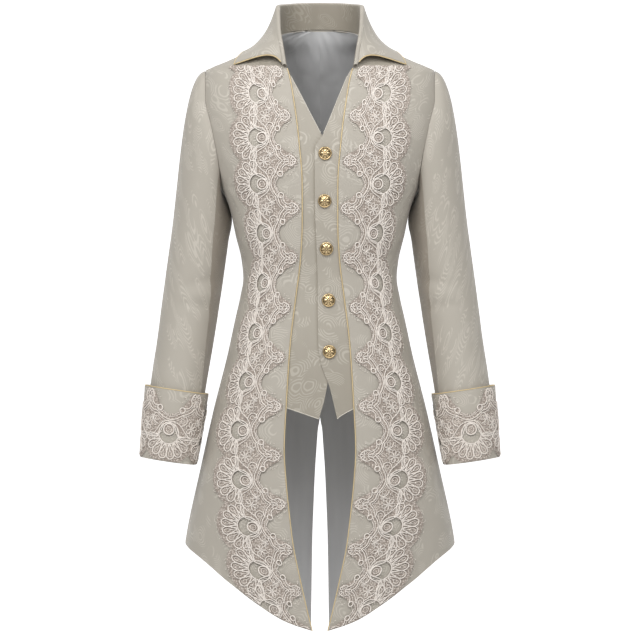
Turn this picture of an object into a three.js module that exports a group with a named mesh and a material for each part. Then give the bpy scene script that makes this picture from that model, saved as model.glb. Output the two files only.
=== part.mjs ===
// Tailcoat with a false waistcoat, filled out as if worn. Millimetres, +Z up, the front faces -Y.
// The origin is on the middle line at the height of the shoulders by the neck.
import * as THREE from 'three';
import { mergeVertices } from 'three/addons/utils/BufferGeometryUtils.js';

const coatCloth = 1.8;
const liningCloth = 1.0;
const vestCloth = 1.2;
const collarCloth = 1.6;
const laceCloth = 1.0;
const laceLift = 1.6;
const cuffLaceLift = 0.6;
const halfSeam = 0.16;
const vestGap = 0.9;
const pipingRadius = 1.1;
const buttonRadius = 11.3;
const shoulderZ = -39;
const underarmZ = -236;
const neckBackZ = 36;
const neckSideZ = 15;
const hemStartZ = -540;
const hemRows = 7;
const panelColumns = 10;

// Body sections: half width, depth of the front and of the back, and how square the section is.
const body = [
  { z: 36, half: 66, front: 50, back: 67, power: 2.0 },
  { z: 15, half: 76.5, front: 56, back: 71, power: 2.0 },
  { z: -12, half: 134.5, front: 66, back: 80, power: 2.3 },
  { z: -26, half: 165.5, front: 71.5, back: 85, power: 2.4 },
  { z: -39, half: 194.5, front: 77, back: 90, power: 2.5 },
  { z: -64, half: 201, front: 87, back: 98, power: 2.5 },
  { z: -95, half: 203, front: 97, back: 104, power: 2.5 },
  { z: -127, half: 200, front: 105, back: 107, power: 2.5 },
  { z: -158, half: 194, front: 111, back: 108, power: 2.5 },
  { z: -192, half: 184, front: 115, back: 107, power: 2.5 },
  { z: -236, half: 168, front: 117, back: 104, power: 2.5 },
  { z: -274, half: 153, front: 117, back: 100, power: 2.5 },
  { z: -320, half: 143, front: 114, back: 95, power: 2.45 },
  { z: -360, half: 133.5, front: 109, back: 90, power: 2.4 },
  { z: -392, half: 130.5, front: 106, back: 88, power: 2.4 },
  { z: -422, half: 135.5, front: 106, back: 91, power: 2.35 },
  { z: -462, half: 144.5, front: 109, back: 98, power: 2.3 },
  { z: -520, half: 157, front: 115, back: 109, power: 2.25 },
  { z: -605, half: 178.5, front: 124, back: 122, power: 2.2 },
  { z: -707, half: 201.5, front: 132, back: 131, power: 2.2 },
  { z: -840, half: 229, front: 137, back: 138, power: 2.2 },
  { z: -1000, half: 246, front: 139, back: 142, power: 2.2 },
];

// Where the armhole crosses each height, from the middle line.
const armhole = [
  { z: -39, front: 194.5, back: 194.5 },
  { z: -50, front: 194.3, back: 193.8 },
  { z: -64, front: 193.8, back: 192.2 },
  { z: -90, front: 193.5, back: 189 },
  { z: -127, front: 185, back: 181 },
  { z: -158, front: 178.5, back: 175.5 },
  { z: -192, front: 171.7, back: 170 },
  { z: -215, front: 168.5, back: 168 },
  { z: -228, front: 167.5, back: 167.5 },
  { z: -236, front: 168, back: 168 },
];

// Neckline and cutaway front edge, from the middle line.
const frontEdge = [
  { z: 15, x: 76.5 }, { z: 5, x: 74 }, { z: -5, x: 70 }, { z: -20, x: 63.5 }, { z: -36, x: 57 },
  { z: -54, x: 52 }, { z: -88, x: 46 }, { z: -157, x: 37 }, { z: -240, x: 31 }, { z: -300, x: 31 },
  { z: -360, x: 34 }, { z: -425, x: 42 }, { z: -500, x: 51 }, { z: -600, x: 57.5 },
  { z: -680, x: 61 }, { z: -730, x: 58 }, { z: -784, x: 52.5 }, { z: -840, x: 45.5 },
  { z: -895, x: 34 }, { z: -950, x: 21.5 }, { z: -982, x: 13.5 },
];

// Edge of the tail opening at the centre back, from the middle line.
const tailEdge = [
  { z: 36, x: 0 }, { z: -629, x: 0 }, { z: -650, x: 3.4 }, { z: -680, x: 5.6 }, { z: -720, x: 8.3 },
  { z: -780, x: 11 }, { z: -843, x: 13.2 }, { z: -947, x: 14.8 }, { z: -1000, x: 15.6 },
];

// Hem height along the section from the side seam (0) to the front or back edge (1).
const hem = [
  { along: 0, front: -838, back: -838 },
  { along: 0.22, front: -848, back: -850 },
  { along: 0.4, front: -864, back: -869 },
  { along: 0.63, front: -903, back: -914 },
  { along: 0.775, front: -936, back: -950 },
  { along: 0.9, front: -965, back: -982 },
  { along: 1, front: -980, back: -992 },
];

// Free edges of the two waistcoat halves; beyond zero they pass the middle line.
const underVestEdge = [
  { z: -34, x: -57 }, { z: -48, x: -50.5 }, { z: -82, x: -33 }, { z: -151, x: 2.7 },
  { z: -168, x: 12 }, { z: -300, x: 13.5 }, { z: -556, x: 13.5 }, { z: -590, x: 8.5 },
  { z: -627, x: -2 },
];
const overVestEdge = [
  { z: -34, x: -55 }, { z: -48, x: -47.6 }, { z: -82, x: -33.2 }, { z: -151, x: -4.8 },
  { z: -176, x: 8.9 }, { z: -258, x: 8.7 }, { z: -386, x: 4.2 }, { z: -498, x: 3 },
  { z: -532, x: -1.5 }, { z: -577, x: -17 }, { z: -627, x: -29 },
];

// Arm sections along the sleeve; seam is where the front seam lies across the width.
const arm = [
  { z: -320, x: -203.2, y: 8, half: 49.5, deep: 58, seam: 0.73 },
  { z: -380, x: -211.5, y: 8, half: 49.5, deep: 57, seam: 0.78 },
  { z: -440, x: -220, y: 5, half: 49, deep: 55, seam: 0.845 },
  { z: -500, x: -228.5, y: -2, half: 48, deep: 53, seam: 0.875 },
  { z: -560, x: -238, y: -12, half: 47.3, deep: 50, seam: 0.92 },
  { z: -630, x: -247.5, y: -25, half: 46.3, deep: 47, seam: 0.95 },
  { z: -690, x: -254.7, y: -36.3, half: 45.2, deep: 43.2, seam: 0.97 },
];

// Collar from its front end (0) to the centre back (1): roll line, outer edge, and the swell between.
const collarShape = [
  { turn: 0, rollX: -60, rollY: -80, rollZ: -32, edgeX: -143.6, edgeY: -55, swellIn: 27, swellOut: 17 },
  { turn: 0.12, rollX: -63.5, rollY: -72, rollZ: -8, edgeX: -140.5, edgeY: -43, swellIn: 16, swellOut: 10 },
  { turn: 0.3, rollX: -70, rollY: -44, rollZ: 34, edgeX: -132, edgeY: -24, swellIn: 0, swellOut: 2 },
  { turn: 0.5, rollX: -71.5, rollY: -2, rollZ: 71, edgeX: -125, edgeY: 2, swellIn: 0, swellOut: 0 },
  { turn: 0.7, rollX: -55, rollY: 42, rollZ: 77, edgeX: -107, edgeY: 57, swellIn: 0, swellOut: 0 },
  { turn: 0.85, rollX: -31, rollY: 62, rollZ: 80, edgeX: -60, edgeY: 83, swellIn: 0, swellOut: 0 },
  { turn: 1, rollX: 0, rollY: 69, rollZ: 81, edgeX: 0, edgeY: 92, swellIn: 0, swellOut: 0 },
];

// Lace border on a front: heights of the ring motifs, with the reach of the border at each.
const laceMotifs = [
  { z: -82.5, reach: 106 }, { z: -156.7, reach: 115 }, { z: -234, reach: 120 }, { z: -316.6, reach: 109 },
  { z: -400, reach: 100 }, { z: -484, reach: 104 }, { z: -566, reach: 118 }, { z: -647, reach: 136 },
  { z: -730, reach: 136 }, { z: -808, reach: 131 }, { z: -881, reach: 122 }, { z: -945, reach: 113 },
];

const group = new THREE.Group();

// Smooth reading of one column of a table, with no overshoot between the rows.
function read(table, column, at, key = 'z') {
  const falling = table[0][key] > table[table.length - 1][key];
  const sign = falling ? -1 : 1;
  const here = sign * at;
  const last = table.length - 1;
  let i = 0;
  while (i < last - 1 && sign * table[i + 1][key] < here) i += 1;
  const slope = (k) => {
    const run = sign * (table[k + 1][key] - table[k][key]);
    return (table[k + 1][column] - table[k][column]) / run;
  };
  const tangent = (k) => {
    if (k === 0) return slope(0);
    if (k === last) return slope(last - 1);
    const before = slope(k - 1);
    const after = slope(k);
    return before * after <= 0 ? 0 : (2 * before * after) / (before + after);
  };
  const from = sign * table[i][key];
  const run = sign * table[i + 1][key] - from;
  const t = THREE.MathUtils.clamp((here - from) / run, 0, 1);
  const a = table[i][column];
  const b = table[i + 1][column];
  const rise = (2 * t ** 3 - 3 * t ** 2 + 1) * a + (3 * t ** 2 - 2 * t ** 3) * b;
  return rise + run * ((t ** 3 - 2 * t ** 2 + t) * tangent(i) + (t ** 3 - t ** 2) * tangent(i + 1));
}

// Point of the body on the viewer's left: angle 0 is the side seam, a right angle is the middle line.
function bodyPoint(z, angle, facing, lift = 0) {
  const half = read(body, 'half', z);
  const deep = read(body, facing < 0 ? 'front' : 'back', z);
  const power = read(body, 'power', z);
  const across = Math.cos(angle);
  const x = Math.abs(across) ** (2 / power);
  const y = Math.max(Math.sin(angle), 0) ** (2 / power);
  const step = 0.5;
  const halfSlope = (read(body, 'half', z + step) - read(body, 'half', z - step)) / (2 * step);
  const column = facing < 0 ? 'front' : 'back';
  const deepSlope = (read(body, column, z + step) - read(body, column, z - step)) / (2 * step);
  const normal = new THREE.Vector3(
    (-Math.sign(across) * x ** (power - 1)) / half,
    (facing * y ** (power - 1)) / deep,
    -(x ** power * halfSlope) / half - (y ** power * deepSlope) / deep,
  ).normalize();
  const point = new THREE.Vector3(-Math.sign(across) * half * x, facing * deep * y, z);
  return { point: point.addScaledVector(normal, lift), normal };
}

// Angle at which the body is a given distance left of the middle line.
function angleAt(z, x) {
  const share = THREE.MathUtils.clamp(x / read(body, 'half', z), -1, 1);
  const power = read(body, 'power', z);
  return Math.acos(Math.sign(share) * Math.abs(share) ** (power / 2));
}

function armholeAngle(z, facing) {
  if (z >= shoulderZ || z <= underarmZ) return 0;
  return angleAt(z, read(armhole, facing < 0 ? 'front' : 'back', z));
}

// Height of the body surface under a point of the plan.
function heightAt(x, y) {
  let low = -200;
  let high = 30;
  for (let k = 0; k < 40; k += 1) {
    const z = (low + high) / 2;
    const power = read(body, 'power', z);
    const across = Math.abs(x) / read(body, 'half', z);
    const deep = Math.abs(y) / read(body, y < 0 ? 'front' : 'back', z);
    if (across ** power + deep ** power < 1) low = z;
    else high = z;
  }
  return low;
}

function colourOf(hex, roughness, metalness) {
  return new THREE.MeshStandardMaterial({ color: hex, roughness, metalness });
}

function addMesh(name, positions, faces, material) {
  const geometry = new THREE.BufferGeometry();
  geometry.setAttribute('position', new THREE.Float32BufferAttribute(positions, 3));
  geometry.setIndex(faces);
  geometry.computeVertexNormals();
  const mesh = new THREE.Mesh(geometry, material);
  mesh.name = name;
  group.add(mesh);
}

// Closed wall between a grid of outer points and a grid of inner points; skipped cells are cut through.
function addWall(name, outer, inner, material, { wrap = false, skip = () => false, mirror = false } = {}) {
  const rows = outer.length;
  const columns = outer[0].length;
  const positions = [];
  for (const grid of [outer, inner]) {
    for (const row of grid) {
      for (const p of row) positions.push(mirror ? -p.x : p.x, p.y, p.z);
    }
  }
  const layer = rows * columns;
  const faces = [];
  const face = (a, b, c) => {
    if (mirror) faces.push(a, c, b);
    else faces.push(a, b, c);
  };
  const quad = (a, b, c, d) => {
    face(a, b, c);
    face(a, c, d);
  };
  const across = wrap ? columns : columns - 1;
  const kept = (i, j) => {
    const column = wrap ? (j + columns) % columns : j;
    if (i < 0 || i >= rows - 1 || column < 0 || column >= across) return false;
    return !skip(i, column);
  };
  const at = (i, j) => i * columns + (j % columns);
  for (let i = 0; i < rows - 1; i += 1) {
    for (let j = 0; j < across; j += 1) {
      if (!kept(i, j)) continue;
      const a = at(i, j);
      const b = at(i + 1, j);
      const c = at(i + 1, j + 1);
      const d = at(i, j + 1);
      quad(a, b, c, d);
      face(layer + a, layer + c, layer + b);
      face(layer + a, layer + d, layer + c);
      const rim = (p, q) => quad(q, p, layer + p, layer + q);
      if (!kept(i, j - 1)) rim(a, b);
      if (!kept(i + 1, j)) rim(b, c);
      if (!kept(i, j + 1)) rim(c, d);
      if (!kept(i - 1, j)) rim(d, a);
    }
  }
  addMesh(name, positions, faces, material);
}

// Outer and inner points of a body panel whose cells run from the side to an edge.
function panel(levels, facing, from, to, { lift = 0, thick = coatCloth, columns = panelColumns, end = 0 }) {
  const hemColumn = facing < 0 ? 'front' : 'back';
  const outer = [];
  const inner = [];
  for (let i = 0; i < levels.length + hemRows; i += 1) {
    outer.push([]);
    inner.push([]);
    for (let j = 0; j <= columns; j += 1) {
      const along = j / columns;
      let z = levels[Math.min(i, levels.length - 1)];
      if (i >= levels.length) {
        const drop = (i - levels.length + 1) / hemRows;
        z += (read(hem, hemColumn, along, 'along') + end - z) * drop;
      }
      const angle = THREE.MathUtils.lerp(from(z), to(z), along);
      const at = bodyPoint(z, angle, facing, lift);
      at.point.y += facing * halfSeam;
      outer[i].push(at.point);
      inner[i].push(at.point.clone().addScaledVector(at.normal, -thick));
    }
  }
  return { outer, inner };
}

function moveAll(grids, x, y, z) {
  for (const grid of grids) {
    for (const row of grid) {
      for (const p of row) p.add(new THREE.Vector3(x, y, z));
    }
  }
}

const levelsBelow = [12, 0, -13, -26, shoulderZ, -50, -64, -90, -120, -150, -182, -212, -227, underarmZ,
  -274, -320, -352, -380, -405, -432, -462, -500, hemStartZ];

// Outward directions of a grid of points, averaged from the cells around each.
function gridNormals(grid, wrap) {
  const rows = grid.length;
  const columns = grid[0].length;
  return grid.map((row, i) => row.map((p, j) => {
    const up = grid[Math.max(i - 1, 0)][j];
    const down = grid[Math.min(i + 1, rows - 1)][j];
    const before = wrap ? row[(j + columns - 1) % columns] : row[Math.max(j - 1, 0)];
    const after = wrap ? row[(j + 1) % columns] : row[Math.min(j + 1, columns - 1)];
    const along = after.clone().sub(p).normalize().add(p.clone().sub(before).normalize());
    return down.clone().sub(up).cross(along).normalize();
  }));
}

function offsetGrid(grid, normals, distance) {
  return grid.map((row, i) => row.map((p, j) => p.clone().addScaledVector(normals[i][j], distance)));
}

// Moves one end column of a grid towards its neighbour, to leave half a seam.
function pullColumn(grids, column, neighbour) {
  for (const grid of grids) {
    for (const row of grid) {
      const way = row[neighbour].clone().sub(row[column]).normalize();
      row[column] = row[column].clone().addScaledVector(way, halfSeam);
    }
  }
}

// Round cord of four sides through a path.
function addCord(name, path, reference, material, { closed = false, mirror = false } = {}) {
  const count = path.length;
  const rings = path.map((p, i) => {
    const before = closed ? path[(i + count - 1) % count] : path[Math.max(i - 1, 0)];
    const after = closed ? path[(i + 1) % count] : path[Math.min(i + 1, count - 1)];
    const tangent = after.clone().sub(before).normalize();
    const side = tangent.clone().cross(reference).normalize();
    const up = side.clone().cross(tangent).normalize();
    return [0, 1, 2, 3].map((k) => {
      const turn = (k + 0.5) * (Math.PI / 2);
      return p.clone()
        .addScaledVector(side, pipingRadius * Math.cos(turn))
        .addScaledVector(up, pipingRadius * Math.sin(turn));
    });
  });
  const positions = [];
  for (const ring of rings) {
    for (const p of ring) positions.push(mirror ? -p.x : p.x, p.y, p.z);
  }
  const faces = [];
  const face = (a, b, c) => {
    if (mirror) faces.push(a, c, b);
    else faces.push(a, b, c);
  };
  for (let i = 0; i < (closed ? count : count - 1); i += 1) {
    for (let k = 0; k < 4; k += 1) {
      const a = i * 4 + k;
      const b = i * 4 + ((k + 1) % 4);
      const c = ((i + 1) % count) * 4 + ((k + 1) % 4);
      const d = ((i + 1) % count) * 4 + k;
      face(a, c, b);
      face(a, d, c);
    }
  }
  if (!closed) {
    face(0, 1, 2);
    face(0, 2, 3);
    const end = (count - 1) * 4;
    face(end, end + 2, end + 1);
    face(end, end + 3, end + 2);
  }
  addMesh(name, positions, faces, material);
}

const coatColour = () => colourOf(0xb8b2a3, 0.75, 0);
const shadeColour = () => colourOf(0xa9a293, 0.78, 0);
const laceColour = () => colourOf(0xe6dcd2, 0.8, 0);
const pipingColour = () => colourOf(0xb99b5e, 0.45, 0.35);
const sides = [['left', false], ['right', true]];

// Fronts, backs, and the back lining short of the hem and of the tail opening
const frontTo = (z) => angleAt(z, read(frontEdge, 'x', z));
const front = panel(levelsBelow, -1, (z) => armholeAngle(z, -1), frontTo, {});
const neckRange = neckBackZ - neckSideZ;
const neckCurve = 0.65;
const neckRise = (z) => THREE.MathUtils.clamp((z - neckSideZ) / neckRange, 0, 1);
const neckAngle = (z) => Math.asin(neckRise(z) ** (1 / neckCurve));
const backFrom = (z) => (z > neckSideZ ? neckAngle(z) : armholeAngle(z, 1));
const backTo = (z) => angleAt(z, read(tailEdge, 'x', z));
const back = panel([34, 28, 21, ...levelsBelow], 1, backFrom, backTo, {});
moveAll([back.outer, back.inner], -halfSeam, 0, 0);
const liningFrom = (z) => backFrom(z) + (z < 0 && z > -70 ? 0.22 : 0.08);
const liningLevels = [33, 28, 21, 12, -13, shoulderZ, ...levelsBelow.slice(6)];
const lining = panel(liningLevels, 1, liningFrom, backTo, {
  lift: -coatCloth - 1.2, thick: liningCloth, columns: 6, end: 8,
});
moveAll([lining.outer, lining.inner], -0.3, 0, 0);
for (const [side, mirror] of sides) {
  addWall(`front_${side}`, front.outer, front.inner, coatColour(), { mirror });
  addWall(`back_${side}`, back.inner, back.outer, coatColour(), { mirror });
  addWall(`back_lining_${side}`, lining.inner, lining.outer, colourOf(0x818181, 0.45, 0), { mirror });
}

// Sleeves: a cap from the armhole to the first arm section, then the sections down to the cuff
const overFront = [-212, -182, -150, -120, -90, -64, -50, shoulderZ];
const overBack = [-50, -64, -90, -120, -150, -182];
const underBack = [-212, -227, underarmZ];
const underFront = [-227];
const overCount = overFront.length + overBack.length;
const loop = [];
for (const z of overFront) loop.push(bodyPoint(z, armholeAngle(z, -1), -1).point);
for (const z of [...overBack, ...underBack]) loop.push(bodyPoint(z, armholeAngle(z, 1), 1).point);
for (const z of underFront) loop.push(bodyPoint(z, armholeAngle(z, -1), -1).point);

function shares(points) {
  const walked = [0];
  for (let i = 1; i < points.length; i += 1) {
    walked.push(walked[i - 1] + points[i].distanceTo(points[i - 1]));
  }
  return walked.map((w) => w / walked[walked.length - 1]);
}

const tip = overFront.length - 1;
const frontShares = shares(loop.slice(0, tip + 1));
const backShares = shares(loop.slice(tip, overCount));
const underShares = shares([...loop.slice(overCount - 1), loop[0]]);

// One section round the arm, its points matched to those of the armhole.
function armRing(centre, down, half, deep, seamShare) {
  const outward = down.clone().cross(new THREE.Vector3(0, 1, 0)).normalize().negate();
  const forward = outward.clone().cross(down).normalize();
  if (forward.y > 0) forward.negate();
  const place = (p, q) => centre.clone().addScaledVector(outward, p).addScaledVector(forward, q);
  const frontTurn = Math.acos(1 - 2 * seamShare);
  const backTurn = 1.75;
  const flat = [];
  for (let i = 0; i < overCount; i += 1) {
    const turn = i <= tip ? frontTurn * (1 - frontShares[i]) : -backTurn * backShares[i - tip];
    flat.push([half * Math.cos(turn), deep * Math.sin(turn)]);
  }
  const start = flat[overCount - 1];
  const finish = flat[0];
  for (let i = 1; i < underShares.length - 1; i += 1) {
    const s = underShares[i];
    const p = THREE.MathUtils.lerp(start[0], finish[0], s);
    const bulge = (1 - Math.abs(2 * s - 1) ** 1.4) ** (1 / 1.4);
    flat.push([p + (-half - p) * bulge, THREE.MathUtils.lerp(start[1], finish[1], s)]);
  }
  return flat.map(([p, q]) => place(p, q));
}

function armFrame(z) {
  const at = (h) => new THREE.Vector3(read(arm, 'x', h), read(arm, 'y', h), h);
  const step = 6;
  const high = Math.min(z + step, arm[0].z);
  const low = Math.max(z - step, arm[arm.length - 1].z);
  return { centre: at(z), down: at(low).sub(at(high)).normalize() };
}

const armRings = arm.map((section) => {
  const { centre, down } = armFrame(section.z);
  return armRing(centre, down, section.half, section.deep, section.seam);
});
const armDown = armFrame(arm[0].z).down;
const capShares = [0, 0.1, 0.24, 0.42, 0.68];
const sleeveGrid = capShares.map((t) => loop.map((from, i) => {
  const to = armRings[0][i];
  const length = from.distanceTo(to);
  const low = (shoulderZ - from.z) / (shoulderZ - underarmZ);
  const away = new THREE.Vector3(-1 + 1.1 * low ** 4, from.y * 0.004, -0.1 - 1.5 * low ** 2).normalize();
  const leave = away.multiplyScalar(length * (0.4 + 0.25 * low));
  const arrive = armDown.clone().multiplyScalar(length * 1.05);
  const point = from.clone().multiplyScalar(2 * t ** 3 - 3 * t ** 2 + 1)
    .addScaledVector(to, 3 * t ** 2 - 2 * t ** 3)
    .addScaledVector(leave, t ** 3 - 2 * t ** 2 + t)
    .addScaledVector(arrive, t ** 3 - t ** 2);
  // behind the side of the body the underarm hangs nearer to it
  if (i >= overCount) {
    const place = (underShares[i - overCount + 1] - 0.38) / 0.24;
    const near = THREE.MathUtils.smoothstep(t, 0.1, 0.45) * (1 - THREE.MathUtils.smoothstep(t, 0.6, 1));
    point.x += 8 * near * Math.exp(-place * place);
  }
  return point;
})).concat(armRings);
moveAll([sleeveGrid], -0.4, 0, 0);
const sleeveInner = offsetGrid(sleeveGrid, gridNormals(sleeveGrid, true), coatCloth);

function cutColumns(grid, from, to) {
  return grid.map((row) => {
    const cut = [];
    for (let j = from; j <= to; j += 1) cut.push(row[j % row.length].clone());
    return cut;
  });
}

for (const [side, mirror] of sides) {
  for (const [name, from, to, colour] of [
    ['sleeve_upper', 0, overCount - 1, coatColour()],
    ['sleeve_under', overCount - 1, loop.length, shadeColour()],
  ]) {
    const outer = cutColumns(sleeveGrid, from, to);
    const inner = cutColumns(sleeveInner, from, to);
    pullColumn([outer, inner], 0, 1);
    pullColumn([outer, inner], to - from, to - from - 1);
    addWall(`${name}_${side}`, inner, outer, colour, { mirror });
  }
}

// Cuffs turned back over the sleeve ends, with piping and a lace band
const cuffTop = new THREE.Vector3(-242.9, -16, -581);
const cuffBottom = new THREE.Vector3(-256.4, -38, -700);
const cuffDown = new THREE.Vector3(-0.147, 0, -1).normalize();

function cuffRing(share, lift) {
  const centre = cuffTop.clone().lerp(cuffBottom, share);
  const half = THREE.MathUtils.lerp(55, 48, share) + lift;
  const deep = THREE.MathUtils.lerp(55, 47.5, share) + lift;
  return armRing(centre, cuffDown, half, deep, 0.96);
}

const cuffShares = [0, 0.5, 1];
const cuffOuter = cuffShares.map((s) => cuffRing(s, 0));
const cuffInner = cuffShares.map((s) => cuffRing(s, -coatCloth));
const cuffPath = cuffOuter[0].map((p, i) => p.clone().lerp(cuffInner[0][i], 0.5)
  .addScaledVector(cuffDown, -pipingRadius - 0.3));

function laceBand(from, to) {
  const grids = [cuffLaceLift + laceCloth, cuffLaceLift].map((lift) => {
    const rings = [0, 0.25, 0.5, 0.75, 1].map((row) => {
      const full = [];
      for (let j = from; j <= to; j += 1) {
        const middle = Math.sin((Math.PI * (j - from)) / (to - from));
        const top = 0.08 + 0.24 * middle;
        const bottom = 0.95 + 0.02 * Math.cos(j * Math.PI);
        const column = j % loop.length;
        full.push(cuffRing(THREE.MathUtils.lerp(top, bottom, row), lift)[column]);
      }
      return full;
    });
    return rings;
  });
  pullColumn(grids, 0, 1);
  pullColumn(grids, to - from, to - from - 1);
  return grids;
}

const inside = overCount + underBack.length - 1;
for (const [side, mirror] of sides) {
  addWall(`cuff_${side}`, cuffInner, cuffOuter, coatColour(), { wrap: true, mirror });
  addCord(`piping_cuff_${side}`, cuffPath, cuffDown, pipingColour(), { closed: true, mirror });
  for (const [face, from, to] of [['front', inside, loop.length + tip], ['back', tip, inside]]) {
    const [outer, inner] = laceBand(from, to);
    const middle = Math.floor((to - from) / 2);
    const skip = (i, j) => i === 1 && j === middle;
    addWall(`cuff_lace_${face}_${side}`, inner, outer, laceColour(), { skip, mirror });
  }
}

// Waistcoat halves inside the fronts; the right one laps over the left one
function vestHalf(edge, drop, hemRise, steepHem) {
  const levels = [-40, -64, -90, -120, -147, -168, -212, -236, -274, -320, -352, -380, -405, -432, -462,
    -500, -540, -584, -627];
  const outer = [];
  const inner = [];
  for (const level of levels) {
    const outerRow = [];
    const innerRow = [];
    for (let j = 0; j <= 6; j += 1) {
      const along = j / 6;
      const late = THREE.MathUtils.smoothstep(-level, 430, 627);
      const z = level + late * hemRise * (1 - along) ** steepHem;
      const hidden = read(frontEdge, 'x', z) + Math.min(38, 4 - z - 34);
      const free = -read(edge, 'x', level);
      const x = THREE.MathUtils.lerp(hidden, free, along);
      const sink = drop * (1 - THREE.MathUtils.smoothstep(x, 12, 34));
      const at = bodyPoint(z, angleAt(z, x), -1, -coatCloth - vestGap - sink);
      outerRow.push(at.point);
      innerRow.push(at.point.clone().addScaledVector(at.normal, -vestCloth));
    }
    outer.push(outerRow);
    inner.push(innerRow);
  }
  return { outer, inner };
}

const under = vestHalf(underVestEdge, vestCloth + 0.4, 32, 1);
const over = vestHalf(overVestEdge, 0, 34, 0.8);
addWall('vest_left', under.outer, under.inner, colourOf(0xb3ab9c, 0.75, 0));
addWall('vest_right', over.outer, over.inner, colourOf(0xb3ab9c, 0.75, 0), { mirror: true });

// Buttons down the lapped edge
const buttons = [
  { x: 8.6, z: -183 }, { x: 7.9, z: -263 }, { x: 10.8, z: -343 }, { x: 14.3, z: -429 },
  { x: 15.7, z: -515 },
];
const buttonProfile = [
  [0, 0], [10.4, 0], [buttonRadius, 0.8], [buttonRadius, 1.7], [10.2, 2.4], [8.7, 2.1], [4.8, 4.2], [0, 5],
].map(([r, h]) => new THREE.Vector2(r, h));
buttons.forEach((button, k) => {
  const lift = -coatCloth - vestGap + (k === 0 ? 0.5 : 0.9);
  const at = bodyPoint(button.z, angleAt(button.z, button.x), -1, lift);
  at.point.x *= -1;
  at.normal.x *= -1;
  const lathe = new THREE.LatheGeometry(buttonProfile, 14);
  lathe.deleteAttribute('uv');
  lathe.deleteAttribute('normal');
  const geometry = mergeVertices(lathe, 1e-4);
  const turn = new THREE.Quaternion().setFromUnitVectors(new THREE.Vector3(0, 1, 0), at.normal);
  geometry.applyQuaternion(turn).translate(at.point.x, at.point.y, at.point.z);
  geometry.computeVertexNormals();
  const mesh = new THREE.Mesh(geometry, colourOf(0xb8955a, 0.35, 0.7));
  mesh.name = `button_${k + 1}`;
  group.add(mesh);
});

// Piping on the front edges, from the collar down to the tail
const frontPath = [];
for (let i = levelsBelow.indexOf(shoulderZ); i < front.outer.length; i += 1) {
  const edgePoint = front.outer[i][panelColumns].clone().lerp(front.inner[i][panelColumns], 0.5);
  const way = front.outer[i][panelColumns].clone().sub(front.outer[i][panelColumns - 1]).normalize();
  frontPath.push(edgePoint.addScaledVector(way, pipingRadius + 0.3));
}
for (const [side, mirror] of sides) {
  addCord(`piping_front_${side}`, frontPath, new THREE.Vector3(0, 1, 0), pipingColour(), { mirror });
}

// Collar: sections from one front end round the back to the other, each up the stand and down the fall
function neckPoint(turn) {
  if (turn < 0.5) {
    const z = THREE.MathUtils.lerp(-37, neckSideZ, Math.sin(turn * Math.PI));
    return bodyPoint(z, angleAt(z, read(frontEdge, 'x', z)), -1, 1.5 - 2 * turn);
  }
  const angle = (turn - 0.5) * Math.PI;
  return bodyPoint(neckSideZ + neckRange * Math.sin(angle) ** neckCurve, angle, 1, 0.5);
}

function collarSection(turn) {
  const get = (column) => read(collarShape, column, turn, 'turn');
  const roll = new THREE.Vector3(get('rollX'), get('rollY'), get('rollZ'));
  const edgeX = get('edgeX');
  const edgeY = get('edgeY');
  const edge = new THREE.Vector3(edgeX, edgeY, heightAt(edgeX, edgeY) + 3.2);
  const out = new THREE.Vector3(edge.x - roll.x, edge.y - roll.y, 0).normalize();
  const start = neckPoint(turn).point;
  const standTop = roll.clone().addScaledVector(out, -2.6).add(new THREE.Vector3(0, 0, -2.6));
  const fall = roll.clone().addScaledVector(out, 2.6).add(new THREE.Vector3(0, 0, -2.6));
  const chord = edge.clone().sub(fall);
  const near = fall.clone().add(chord.clone().multiply(new THREE.Vector3(0.15, 0.15, 0.33)));
  const far = fall.clone().add(chord.clone().multiply(new THREE.Vector3(0.4, 0.4, 0.8)));
  near.z += get('swellIn');
  far.z += get('swellOut');
  const curve = new THREE.CubicBezierCurve3(fall, near, far, edge);
  const section = [start, start.clone().lerp(standTop, 0.5), standTop];
  section.push(roll.clone().addScaledVector(out, -1.3), roll.clone().addScaledVector(out, 1.3));
  for (const w of [0, 0.18, 0.36, 0.56, 0.78, 1]) section.push(curve.getPoint(w));
  return section;
}

const turns = [0, 0.06, 0.12, 0.2, 0.3, 0.4, 0.5, 0.547, 0.6, 0.66, 0.74, 0.83, 0.91, 1];
const halfCollar = turns.map(collarSection);
const flip = (p) => new THREE.Vector3(-p.x, p.y, p.z);
const collarGrid = halfCollar.concat(halfCollar.slice(0, -1).reverse().map((section) => section.map(flip)));
const collarInner = offsetGrid(collarGrid, gridNormals(collarGrid, false), collarCloth);
addWall('collar', collarInner, collarGrid, coatColour());

const collarPath = [];
const rimGap = pipingRadius + 0.4;
const endGap = pipingRadius + 1.6;
const lastRow = collarGrid.length - 1;
const lastPoint = collarGrid[0].length - 1;
const middleOf = (i, j) => collarGrid[i][j].clone().lerp(collarInner[i][j], 0.5);
const awayFrom = (i, j, k, l) => collarGrid[i][j].clone().sub(collarGrid[k][l]).normalize();
for (let j = 6; j < lastPoint; j += 1) {
  collarPath.push(middleOf(0, j).addScaledVector(awayFrom(0, j, 1, j), endGap));
}
for (let i = 0; i <= lastRow; i += 1) {
  const point = middleOf(i, lastPoint).addScaledVector(awayFrom(i, lastPoint, i, lastPoint - 1), rimGap);
  if (i === 0) point.addScaledVector(awayFrom(0, lastPoint, 1, lastPoint), rimGap);
  if (i === lastRow) point.addScaledVector(awayFrom(i, lastPoint, i - 1, lastPoint), rimGap);
  collarPath.push(point);
}
for (let j = lastPoint - 1; j >= 6; j -= 1) {
  collarPath.push(middleOf(lastRow, j).addScaledVector(awayFrom(lastRow, j, lastRow - 1, j), endGap));
}
addCord('piping_collar', collarPath, new THREE.Vector3(0, 0, 1), pipingColour());

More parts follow.
